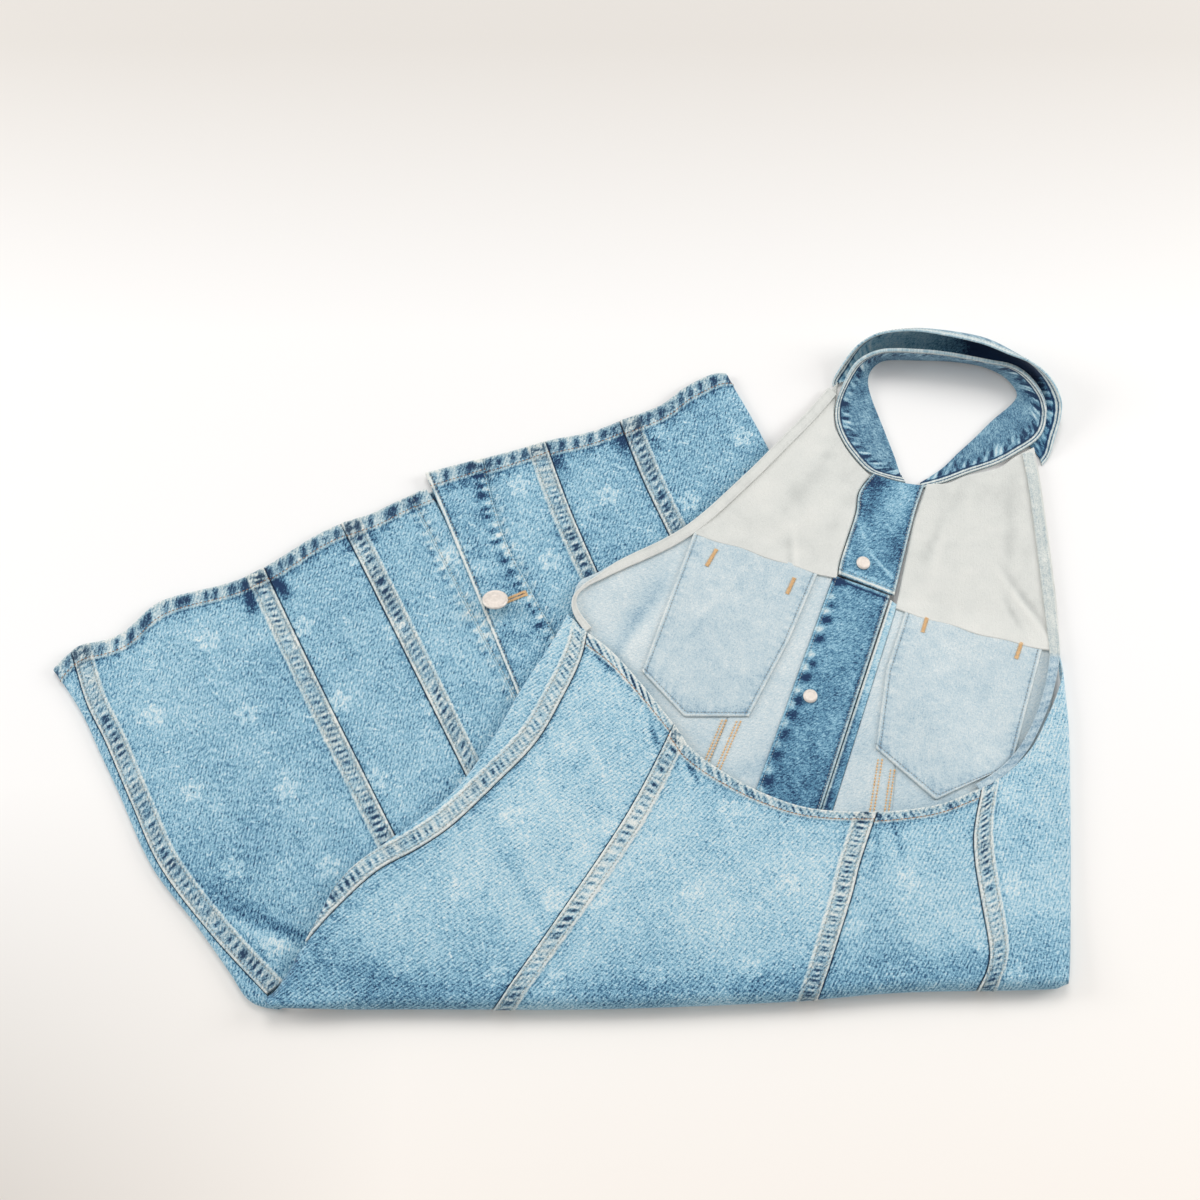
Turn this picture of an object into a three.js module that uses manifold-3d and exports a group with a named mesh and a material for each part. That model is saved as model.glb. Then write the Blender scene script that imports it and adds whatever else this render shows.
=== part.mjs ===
// Denim halter dress, folded once across the skirt and laid on a table.
//
// The upper half lies face down, so its low back opening shows the inside of the
// bodice front. The skirt turns under along one straight fold and comes out on the
// left with its buttoned front up. Millimetres, +Z up, table at z = 0, x to the
// right, y away from the fold. "Left" and "right" are the wearer's.
//
// Every panel is a cloth wall laid over one of three sheets. A sheet is a height
// over the table with a rolled edge: a plan point closer to the edge than the roll
// goes round it, so a panel drawn past the edge wraps under.

import * as THREE from 'three';
import { mergeVertices } from 'three/addons/utils/BufferGeometryUtils.js';
import Module from 'manifold-3d';

const wasm = await Module();
wasm.setup();

// ---------------------------------------------------------------- driving sizes

const CLOTH = 1.4; // denim wall
const LINING = 1.1; // thin cotton of the facings
const DOUBLE = 3.0; // placket and band, several layers pressed together
const SEAM_GAP = 0.4; // between pieces side by side
const CORE_GAP = 1; // between a panel and the layers under it
const TABLE_GAP = 0.3; // under a wrapped panel
const TAPE = 15; // felled seam, folded edge to last stitch row
const TAPE_RISE = 0.9;
const HEM = 13; // turned hem of the skirt
const NECK_HEM = 9.5; // turned hem of the back neckline
const BEVEL = 1.2; // run over which a raised band drops to the cloth

const SKIRT_STACK = 4.8; // front of the skirt above the table
const PLACKET_RISE = 1.5; // placket above the skirt front
const ON_SKIRT = 2.6; // room for placket and seams under what lies on the skirt
const BODICE_ON_TABLE = 3.8; // inside of the bodice front where it lies on the table
const BODICE_ON_SKIRT = 4.7; // and above the skirt where it lies on that
const SKIRT_LOFT = 2.4; // more height towards the fold in the skirt
const BACK_OVER_FRONT = 3.5; // back cloth above the bodice inside, at the neckline
const FOLD_LOFT = 3.2; // more height where all layers turn at the fold
const FOLD_Y = -242; // front edge of the fold

const ROLL_TURN = 2.7; // radians a wrapped panel goes round its edge
const ROLL_STEPS = [2.7, 2.15, 1.6, 1.05, 0.5, 0];

const FACING_WIDTH = 9; // cream binding inside the armholes
const STAND_WALL = 2.4; // collar stand, two layers and their seams
const LEAF_WALL = 1.6;
const BAG_LIFT = 1.75; // pocket bag above the bodice inside
const FACING_LIFT = 2.1; // armhole facing above the bodice inside
const PLACKET_WALL = 3.2; // placket seen from inside
const BUTTON_RADIUS = 10;
const BUTTON_TILT = 25; // degrees the loose shank button leans back
const SHANK_RADIUS = 4;
const SHANK_HEIGHT = 5.4;
const CAP_RADIUS = 5.5; // backs of the buttons, seen inside
const CAP_HEIGHT = 2;
const SEAT = 0.3; // between a button and the cloth it is sewn through

// ---------------------------------------------------------------- plan curves

const point = (x, y) => new THREE.Vector2(x, y);

function curve(rows) {
  return new THREE.SplineCurve(rows.map(([x, y]) => point(x, y)));
}

/** A polyline of straight runs, measured by length like a curve. */
function runs(rows) {
  const path = new THREE.CurvePath();
  for (let i = 1; i < rows.length; i += 1) {
    path.add(new THREE.LineCurve(point(...rows[i - 1]), point(...rows[i])));
  }
  return path;
}

/** An edge that a sheet rolls round, with the sheet on its left-hand side. */
class Outline {
  constructor(rows, steps = 260) {
    this.points = curve(rows).getSpacedPoints(steps);
    this.length = 0;
    this.starts = this.points.map((p, i) => {
      this.length += i > 0 ? p.distanceTo(this.points[i - 1]) : 0;
      return this.length;
    });
  }

  /** Nearest place on the edge: its station, inward normal and signed distance. */
  nearest(x, y) {
    let best = { gap: Infinity };
    for (let i = 1; i < this.points.length; i += 1) {
      const a = this.points[i - 1];
      const run = this.points[i].clone().sub(a);
      const size = run.length();
      const along = THREE.MathUtils.clamp(((x - a.x) * run.x + (y - a.y) * run.y) / size ** 2, 0, 1);
      const foot = a.clone().addScaledVector(run, along);
      const gap = Math.hypot(x - foot.x, y - foot.y);
      if (gap < best.gap) {
        const inward = point(-run.y / size, run.x / size);
        best = { gap, foot, inward, station: this.starts[i - 1] + along * size };
      }
    }
    const away = point(x - best.foot.x, y - best.foot.y);
    const side = away.dot(best.inward) >= 0 ? 1 : -1;
    if (best.gap > 1e-6) best.inward = away.multiplyScalar(side / best.gap);
    return { ...best, distance: side * best.gap };
  }

  at(station) {
    const i = Math.max(1, this.starts.findIndex((s) => s >= station));
    const a = this.points[i - 1];
    const b = this.points[i];
    const t = (station - this.starts[i - 1]) / (this.starts[i] - this.starts[i - 1]);
    const run = b.clone().sub(a).normalize();
    return { foot: a.clone().lerp(b, t), inward: point(-run.y, run.x) };
  }
}

// ---------------------------------------------------------------- sheets

const smooth = (v, from, to) => THREE.MathUtils.smoothstep(v, from, to);

/** Soft ridge (rise > 0) or trough along a line, fading at both ends. */
function crease({ x0, y0, x1, y1, width, rise }, x, y) {
  const run = point(x1 - x0, y1 - y0);
  const size = run.length();
  const along = ((x - x0) * run.x + (y - y0) * run.y) / size ** 2;
  const across = ((x - x0) * run.y - (y - y0) * run.x) / size;
  const fade = smooth(along, -0.15, 0.3) * (1 - smooth(along, 0.75, 1.15));
  return rise * fade * Math.exp(-((across / width) ** 2));
}

const creases = (rows, x, y) => rows.reduce((sum, row) => sum + crease(row, x, y), 0);

// Largest folds and ripples, one row each: ends of the line, half width, rise.
const SKIRT_CREASES = [
  { x0: -250, y0: -158, x1: -176, y1: -186, width: 13, rise: -0.6 },
  { x0: -236, y0: -188, x1: -178, y1: -206, width: 11, rise: 1.1 },
  { x0: -305, y0: 80, x1: -262, y1: -30, width: 22, rise: 1.8 },
  { x0: -198, y0: 132, x1: -160, y1: 50, width: 14, rise: 1.5 },
  { x0: -140, y0: 160, x1: -108, y1: 90, width: 10, rise: 1.1 },
  { x0: 15, y0: 226, x1: 45, y1: 150, width: 14, rise: 1.5 },
  { x0: 96, y0: 262, x1: 118, y1: 190, width: 14, rise: 1.6 },
];
const BACK_CREASES = [
  { x0: 240, y0: -95, x1: 262, y1: -200, width: 20, rise: 1.2 },
  { x0: 60, y0: -20, x1: -40, y1: -150, width: 24, rise: 1.3 },
  { x0: 120, y0: -90, x1: 90, y1: -200, width: 26, rise: 1.0 },
  { x0: 345, y0: -60, x1: 348, y1: -200, width: 14, rise: 0.8 },
];
const BODICE_CREASES = [
  { x0: 92, y0: 118, x1: 36, y1: 40, width: 7, rise: -0.9 },
  { x0: 108, y0: 100, x1: 52, y1: 22, width: 6, rise: 0.7 },
  { x0: 205, y0: 190, x1: 150, y1: 130, width: 12, rise: 0.8 },
  { x0: 352, y0: 190, x1: 346, y1: 80, width: 12, rise: 0.8 },
];

// Right edge of the skirt that comes out under the bodice.
const SKIRT_RIGHT = [[343, -232], [303, -105], [255, 2], [210, 104], [166, 200], [151, 232], [133, 267]];
const SKIRT_LEFT = [
  [-390, 17], [-366, -17], [-349, -49], [-332, -81], [-303, -137], [-267, -181],
  [-240, -216], [-227, -234], [-213, -241], [-190, -243],
];
const UPPER_EDGE = [
  [10, 78], [7, 66], [1, 52], [-11, 30], [-30, -1], [-55, -47], [-84, -86], [-127, -119], [-161, -149],
  [-187, -200], [-203, -228], [-213, -239], [-196, -243], [-100, FOLD_Y - 1], [30, FOLD_Y - 1],
  [160, -238], [250, -231], [345, -229], [366, -226], [372, -214], [380, -129], [386, -40], [386, 0], [385, 38],
];

const skirtRight = new Outline(SKIRT_RIGHT);

/** 1 where the skirt lies underneath, 0 on the bare table. */
const overSkirt = (x, y) => smooth(skirtRight.nearest(x, y).distance, -60, -3);

// Heights of the sheets without their creases.
const skirtBase = (x, y) => SKIRT_STACK + SKIRT_LOFT * (Math.max(0, -60 - y) / 180) ** 2;
const bodiceBase = (x, y) => THREE.MathUtils.lerp(
  BODICE_ON_TABLE,
  skirtBase(x, y) + BODICE_ON_SKIRT,
  overSkirt(x, y),
);
const backBase = (x, y) => bodiceBase(x, y) + BACK_OVER_FRONT + FOLD_LOFT * (Math.max(0, -y) / 240) ** 2;

const skirtHeight = (x, y) => skirtBase(x, y) + creases(SKIRT_CREASES, x, y);
const bodiceHeight = (x, y) => bodiceBase(x, y) + creases(BODICE_CREASES, x, y);
const backHeight = (x, y) => backBase(x, y) + creases(BODICE_CREASES, x, y) + creases(BACK_CREASES, x, y);

/** What the upper half's edge rests on: the skirt on the left, else the table. */
const underBack = (x, y) => THREE.MathUtils.lerp(
  TABLE_GAP,
  skirtHeight(x, y) + ON_SKIRT,
  Math.max(1 - smooth(x, -190, -140), smooth(y, -235, -205)) * smooth(-x, -200, 0),
);

const SHEETS = {
  skirt: { edges: [new Outline(SKIRT_LEFT), skirtRight], height: skirtHeight, rest: () => TABLE_GAP },
  bodice: { edges: [], height: bodiceHeight, rest: () => 0 },
  back: { edges: [new Outline(UPPER_EDGE)], height: backHeight, rest: underBack },
};

const rollOf = (sheet, { foot }) => (sheet.height(foot.x, foot.y) - sheet.rest(foot.x, foot.y)) / 2;

function nearestEdge(sheet, x, y) {
  const found = sheet.edges.map((edge) => ({ edge, ...edge.nearest(x, y) }));
  return found.sort((a, b) => a.gap - b.gap)[0];
}

/** The point of a sheet over plan place (x, y), lifted along the cloth's normal. */
function lay(sheet, x, y, lift) {
  const near = nearestEdge(sheet, x, y);
  const roll = near ? rollOf(sheet, near) : 0;
  if (!near || near.distance >= roll) return new THREE.Vector3(x, y, sheet.height(x, y) + lift);
  const angle = Math.min((roll - near.distance) / roll, ROLL_TURN);
  const centre = near.foot.clone().addScaledVector(near.inward, roll);
  const facingUp = (1 + Math.cos(angle)) / 2;
  const radius = roll + (lift > 0 ? lift * facingUp : lift);
  const slope = sheet.height(centre.x, centre.y) - sheet.height(near.foot.x, near.foot.y);
  return new THREE.Vector3(
    centre.x - near.inward.x * radius * Math.sin(angle),
    centre.y - near.inward.y * radius * Math.sin(angle),
    sheet.rest(near.foot.x, near.foot.y) + roll + radius * Math.cos(angle) + slope * facingUp,
  );
}

/** The plan place just past an edge whose cloth has turned right under. */
function past(sheet, place) {
  const near = nearestEdge(sheet, place.x, place.y);
  const on = near.edge.at(near.station);
  return on.foot.addScaledVector(on.inward, -rollOf(sheet, near) * (ROLL_TURN - 1));
}

/** The curve past an edge between two places on it. */
function pastBetween(sheet, a, b) {
  const near = nearestEdge(sheet, a.x, a.y);
  const end = near.edge.nearest(b.x, b.y);
  return {
    getPointAt: (t) => {
      const on = near.edge.at(THREE.MathUtils.lerp(near.station, end.station, t));
      return on.foot.addScaledVector(on.inward, -rollOf(sheet, on) * (ROLL_TURN - 1));
    },
    getLength: () => Math.abs(end.station - near.station),
  };
}

// ---------------------------------------------------------------- cloth walls

/** Closed solid between two equal grids of points, outer[row][column] over inner. */
function wallGeometry(outer, inner) {
  const rows = outer.length;
  const columns = outer[0].length;
  const layer = rows * columns;
  const positions = [...outer.flat(), ...inner.flat()].flatMap((p) => [p.x, p.y, p.z]);
  const index = [];
  const quad = (a, b, c, d) => index.push(a, b, c, a, c, d);
  const at = (r, c) => r * columns + c;
  for (let r = 1; r < rows; r += 1) {
    for (let c = 1; c < columns; c += 1) {
      quad(at(r - 1, c - 1), at(r, c - 1), at(r, c), at(r - 1, c));
      quad(layer + at(r - 1, c - 1), layer + at(r - 1, c), layer + at(r, c), layer + at(r, c - 1));
    }
  }
  const rim = [];
  for (let c = 0; c < columns - 1; c += 1) rim.push(at(0, c));
  for (let r = 0; r < rows - 1; r += 1) rim.push(at(r, columns - 1));
  for (let c = columns - 1; c > 0; c -= 1) rim.push(at(rows - 1, c));
  for (let r = rows - 1; r > 0; r -= 1) rim.push(at(r, 0));
  rim.forEach((a, i) => {
    const b = rim[(i + 1) % rim.length];
    quad(a, b, layer + b, layer + a);
  });
  const geometry = new THREE.BufferGeometry();
  geometry.setAttribute('position', new THREE.Float32BufferAttribute(positions, 3));
  geometry.setIndex(index);
  return outward(geometry);
}

/** Turns a closed geometry right side out when its volume comes out negative. */
function outward(geometry) {
  const p = geometry.getAttribute('position');
  const index = geometry.getIndex().array;
  const [a, b, c] = [new THREE.Vector3(), new THREE.Vector3(), new THREE.Vector3()];
  let volume = 0;
  for (let i = 0; i < index.length; i += 3) {
    a.fromBufferAttribute(p, index[i]);
    b.fromBufferAttribute(p, index[i + 1]);
    c.fromBufferAttribute(p, index[i + 2]);
    volume += a.dot(b.cross(c));
  }
  if (volume < 0) geometry.setIndex(Array.from(index).reverse());
  return geometry;
}

function solidOf(geometry) {
  return new wasm.Manifold(new wasm.Mesh({
    numProp: 3,
    vertProperties: geometry.getAttribute('position').array,
    triVerts: new Uint32Array(geometry.getIndex().array),
  }));
}

function geometryOf(solid) {
  const { vertProperties, numProp, triVerts } = solid.getMesh();
  const geometry = new THREE.BufferGeometry();
  geometry.setAttribute('position', new THREE.BufferAttribute(vertProperties, numProp));
  geometry.setIndex(new THREE.BufferAttribute(triVerts, 1));
  return geometry;
}

/** Even stations from 0 to 1 with fixed distances kept free at either end. */
function stations(length, start, count, end) {
  const from = start.map((mm) => mm / length);
  const to = end.map((mm) => 1 - mm / length);
  const a = from[from.length - 1];
  const b = to[0];
  const between = Array.from({ length: count }, (_, i) => a + ((b - a) * (i + 1)) / (count + 1));
  return [...from, ...between, ...to];
}

/** A side moved and sheared so that it starts at a and ends at b. */
function fitted(side, a, b) {
  if (!side) return { getPointAt: (t) => a.clone().lerp(b, t) };
  const from = a.clone().sub(side.getPointAt(0));
  const to = b.clone().sub(side.getPointAt(1));
  return { getPointAt: (t) => side.getPointAt(t).clone().add(from.clone().lerp(to, t)) };
}

/**
 * Plan points of a four-sided panel. Its left and right sides run from top to
 * bottom, its top and bottom sides from left to right. Bands are raised strips
 * along a side; a wrapped side has closer stations for its roll.
 */
function panelGrid(sheet, panel) {
  const { left, right, top, bottom, rows = 8, columns = 3, bands = {}, wraps = {} } = panel;
  const corner = {
    tl: left.getPointAt(0), tr: right.getPointAt(0), bl: left.getPointAt(1), br: right.getPointAt(1),
  };
  const topSide = fitted(top, corner.tl, corner.tr);
  const bottomSide = fitted(bottom, corner.bl, corner.br);
  const place = (c, r) => {
    const x = [left.getPointAt(r), right.getPointAt(r), topSide.getPointAt(c), bottomSide.getPointAt(c)];
    const blend = (k) => (1 - c) * x[0][k] + c * x[1][k] + (1 - r) * x[2][k] + r * x[3][k]
      - ((1 - c) * (1 - r) * corner.tl[k] + c * (1 - r) * corner.tr[k]
        + (1 - c) * r * corner.bl[k] + c * r * corner.br[k]);
    return point(blend('x'), blend('y'));
  };
  const offsets = (side, at) => {
    if (bands[side]) return [0, bands[side], bands[side] + BEVEL];
    if (wraps[side]) return ROLL_STEPS.map((step) => step * at).reverse();
    return [0];
  };
  const rollAt = (p) => rollOf(sheet, nearestEdge(sheet, p.x, p.y) ?? { foot: p });
  const length = (left.getLength() + right.getLength()) / 2;
  const bottomRoll = wraps.bottom ? (rollAt(corner.bl) + rollAt(corner.br)) / 2 : 0;
  const rowList = panel.rowsAt
    ?? stations(length, offsets('top', 0), rows, offsets('bottom', bottomRoll).reverse());
  panel.used?.push(...rowList);
  return rowList.map((r) => {
    const [a, b] = [place(0, r), place(1, r)];
    const width = a.distanceTo(b);
    const leftMm = offsets('left', wraps.left ? rollAt(a) : 0);
    const rightMm = offsets('right', wraps.right ? rollAt(b) : 0).reverse();
    const share = Math.min(1, (0.9 * width) / (leftMm.at(-1) + rightMm[0] + 1e-6));
    const list = stations(width, leftMm.map((mm) => mm * share), columns, rightMm.map((mm) => mm * share));
    return list.map((c) => {
      const p = place(c, r);
      const mm = { left: c * width, right: (1 - c) * width, top: r * length, bottom: (1 - r) * length };
      const raised = Object.keys(bands).some((side) => mm[side] <= bands[side] * 1.001);
      return { x: p.x, y: p.y, rise: raised ? TAPE_RISE : 0 };
    });
  });
}

/** A cloth wall over a sheet: its top `lift` above the sheet, `wall` thick. */
function cloth(sheet, panel, { lift = 0, wall = CLOTH } = {}) {
  const grid = panelGrid(sheet, panel);
  const outer = grid.map((row) => row.map((p) => lay(sheet, p.x, p.y, lift + p.rise)));
  const inner = grid.map((row) => row.map((p) => lay(sheet, p.x, p.y, lift - wall)));
  return wallGeometry(outer, inner);
}

/** Moves a side of a panel across its width, for the gap at a seam. */
function shifted(side, mm) {
  return {
    getPointAt: (t) => {
      const a = side.getPointAt(Math.max(0, t - 0.01));
      const b = side.getPointAt(Math.min(1, t + 0.01));
      const run = b.sub(a).normalize();
      return side.getPointAt(t).add(point(-run.y * mm, run.x * mm));
    },
    getLength: () => side.getLength(),
  };
}

/** The first share of a side. */
function start(side, share) {
  return { getPointAt: (t) => side.getPointAt(share * t), getLength: () => side.getLength() * share };
}

// ---------------------------------------------------------------- finish

const FINISH = {
  denim: { color: 0x8fb4cf, roughness: 0.88, metalness: 0 },
  dark: { color: 0x5584ac, roughness: 0.88, metalness: 0 },
  wrong: { color: 0xb9cad3, roughness: 0.9, metalness: 0 },
  cream: { color: 0xe9e7df, roughness: 0.92, metalness: 0 },
  metal: { color: 0xd8d4d0, roughness: 0.35, metalness: 0.9 },
};

const dress = new THREE.Group();

function add(name, geometry, finish) {
  const mesh = new THREE.Mesh(geometry, new THREE.MeshStandardMaterial(FINISH[finish]));
  mesh.name = name;
  dress.add(mesh);
}

// ---------------------------------------------------------------- skirt front

// Hem from the left side seam to the button band, and from the placket to the right
// edge. The points between the seams are the hem's ripples.
const HEM_LEFT = new Outline([
  [-387, 15], [-374, 34], [-351, 41], [-336, 49], [-319, 67], [-302, 76], [-259, 88], [-234, 100],
  [-188, 129], [-149, 146], [-121, 162], [-109, 167],
], 120);
const HEM_RIGHT = new Outline([
  [-109, 180], [-66, 192], [-29, 203], [-7, 210], [19, 214], [44, 223], [78, 239], [97, 255], [119, 268],
  [134, 268],
], 120);

/** The stretch of a long edge between the places nearest to a and b. */
function between(edge, a, b) {
  const from = edge.nearest(a.x, a.y).station;
  const to = edge.nearest(b.x, b.y).station;
  return { getPointAt: (t) => edge.at(from + (to - from) * t).foot };
}

// Seams of the skirt front from the hem to where the upper half hides them.
const SKIRT_SEAMS = {
  side_left: [[-377, 31], [-362, -10], [-345, -41], [-321, -90], [-296, -138], [-256, -187], [-212, -232]],
  princess_left: [[-233, 100], [-184, 3], [-122, -116], [-106, -148]],
  dart_left: [[-174, 137], [-140, 70], [-76, -57], [-60, -90]],
  band_join: [[-121, 161], [-94, 108], [-37, -4], [-21, -36]],
  band_end: [[-108, 167], [-88, 131], [-33, -4], [-20, -36]],
  placket_edge: [[-109, 180], [-88, 131], [-33, -4], [-20, -36]],
  placket_join: [[-64, 193], [-46, 128], [-24, 82], [-6, 47], [8, 16]],
  dart_right: [[-14, 208], [6, 150], [28, 96], [42, 64]],
  princess_right: [[46, 226], [64, 176], [82, 134], [96, 103]],
};
const { skirt, bodice, back } = SHEETS;
const seam = Object.fromEntries(Object.entries(SKIRT_SEAMS).map(([name, rows]) => [name, curve(rows)]));
seam.edge_left = pastBetween(skirt, point(-388, 17), point(-200, -243));
seam.edge_right = pastBetween(skirt, point(134, 266), point(180, 172));

// One row per panel: its sides, its hem, and which sides carry a raised felled seam.
const SKIRT_PANELS = [
  {
    name: 'skirt_back_left', left: 'edge_left', right: 'side_left', hem: HEM_LEFT,
    wraps: { left: true }, columns: 1, rows: 12,
  },
  {
    name: 'skirt_front_side_left', left: 'side_left', right: 'princess_left', hem: HEM_LEFT,
    bands: { left: TAPE, right: TAPE }, columns: 6, rows: 10,
  },
  { name: 'skirt_front_middle_left', left: 'princess_left', right: 'dart_left', hem: HEM_LEFT, columns: 4 },
  {
    name: 'skirt_front_centre_left', left: 'dart_left', right: 'band_join', hem: HEM_LEFT,
    bands: { left: TAPE }, columns: 2,
  },
  { name: 'skirt_button_band', left: 'band_join', right: 'band_end', hem: HEM_LEFT, columns: 1 },
  {
    name: 'skirt_placket', left: 'placket_edge', right: 'placket_join', hem: HEM_RIGHT,
    columns: 3, lift: PLACKET_RISE, wall: DOUBLE,
  },
  {
    name: 'skirt_front_centre_right', left: 'placket_join', right: 'dart_right', hem: HEM_RIGHT,
    bands: { right: TAPE }, columns: 2, rows: 6,
  },
  {
    name: 'skirt_front_middle_right', left: 'dart_right', right: 'princess_right', hem: HEM_RIGHT,
    columns: 3, rows: 6,
  },
  {
    name: 'skirt_front_side_right', left: 'princess_right', right: 'edge_right', hem: HEM_RIGHT,
    bands: { left: TAPE }, wraps: { right: true }, columns: 5, rows: 6,
  },
];

/** A panel's sides drawn in by half a seam gap, with its end sides kept. */
function seamed(sides, panel) {
  return {
    ...panel,
    left: shifted(sides[panel.left], SEAM_GAP / 2),
    right: shifted(sides[panel.right], -SEAM_GAP / 2),
  };
}

for (const row of SKIRT_PANELS) {
  const top = between(row.hem, seam[row.left].getPointAt(0), seam[row.right].getPointAt(0));
  const panel = seamed(seam, { ...row, top, bands: { top: HEM, ...row.bands } });
  add(row.name, cloth(skirt, panel, { lift: row.lift, wall: row.wall }), 'denim');
}

// ---------------------------------------------------------------- back of the upper half

// Seams of the back from the neckline down to the fold, then past it.
const BACK_SEAMS = {
  side_left: [
    [20, 44], [15, 22], [3, -5], [-18, -43], [-48, -76], [-79, -107], [-104, -125], [-135, -143],
    [-162, -169], [-180, -190], [-191, -203],
  ],
  princess_left: [[86, -30], [61, -80], [38, -119], [-4, -182], [-45, -243]],
  princess_right: [[236, -98], [222, -136], [214, -163], [197, -211], [188, -236]],
  side_right: [[316, -79], [308, -112], [307, -135], [309, -159], [313, -198], [311, -214], [304, -230]],
};
const NECKLINE = new Outline([
  [20, 46], [40, 29], [61, 4], [86, -30], [98, -48], [119, -65], [150, -83], [183, -95], [222, -99],
  [250, -98], [285, -92], [316, -79],
], 120);
const ARMHOLE_TURNED = curve([[317, -80], [337, -66], [355, -47], [367, -24], [377, 0], [384, 24], [386, 38]]);
const CORNER_LEFT = point(-213, -239);
const CORNER_RIGHT = point(369, -221);

const down = Object.fromEntries(Object.entries(BACK_SEAMS).map(([name, rows]) => {
  const end = past(back, point(...rows.at(-1)));
  return [name, curve([...rows, [end.x, end.y]])];
}));
down.left_turned = curve([...BACK_SEAMS.side_left, [-205, -224], past(back, CORNER_LEFT).toArray()]);
down.edge_left = pastBetween(back, point(6, 61), point(-183, -194));
down.edge_right = pastBetween(back, point(386, 37), CORNER_RIGHT);

const turnedRows = [];
const rightRows = [];
const BACK_PANELS = [
  {
    name: 'back_side_left', left: 'left_turned', right: 'princess_left',
    from: CORNER_LEFT, to: point(-45, -243), columns: 7, rows: 12, used: turnedRows,
  },
  {
    name: 'back_centre', left: 'princess_left', right: 'princess_right',
    from: point(-45, -243), to: point(188, -236), bands: { left: TAPE, right: TAPE }, columns: 6,
  },
  {
    name: 'back_side_right', left: 'princess_right', right: 'side_right',
    from: point(188, -236), to: point(304, -230), columns: 6, rows: 9, used: rightRows,
  },
];
for (const row of BACK_PANELS) {
  const top = between(NECKLINE, down[row.left].getPointAt(0), down[row.right].getPointAt(0));
  const bottom = pastBetween(back, row.from, row.to);
  const bands = { top: NECK_HEM, ...row.bands };
  const panel = seamed(down, { ...row, top, bottom, bands, wraps: { bottom: true } });
  add(row.name, cloth(back, panel), 'denim');
}

// It shares the stations of its seam with the back panel beside it.
const lastTurned = turnedRows.findLast((r) => down.left_turned.getPointAt(r).y > -195);
const FRONT_SIDES = {
  front_side_left: {
    left: down.edge_left,
    right: start(shifted(down.left_turned, -SEAM_GAP / 2), lastTurned),
    rowsAt: turnedRows.filter((r) => r <= lastTurned).map((r) => r / lastTurned),
    bands: { right: TAPE },
    wraps: { left: true },
    columns: 1,
  },
  front_side_right: {
    left: shifted(down.side_right, SEAM_GAP / 2),
    right: down.edge_right,
    top: ARMHOLE_TURNED,
    bottom: pastBetween(back, point(304, -230), CORNER_RIGHT),
    bands: { left: TAPE },
    wraps: { right: true, bottom: true },
    columns: 2,
    rowsAt: rightRows,
  },
};
for (const [name, panel] of Object.entries(FRONT_SIDES)) {
  add(name, cloth(back, panel), 'denim');
}

// ---------------------------------------------------------------- inside of the bodice front

const ARMHOLE_LEFT = [[220, 251], [190, 222], [149, 178], [101, 134], [48, 106], [27, 94], [14, 87], [8, 72]];
const ARMHOLE_RIGHT = [[377, 204], [380, 173], [383, 122], [385, 72], [384, 35]];

/** Sides of a panel given as plan rows, with straight or curved runs. */
function sides({ left, right, top, bottom }) {
  const side = (rows) => (rows.length > 2 ? curve(rows) : runs(rows));
  return { left: side(left), right: side(right), top: top && side(top), bottom: bottom && side(bottom) };
}

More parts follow.
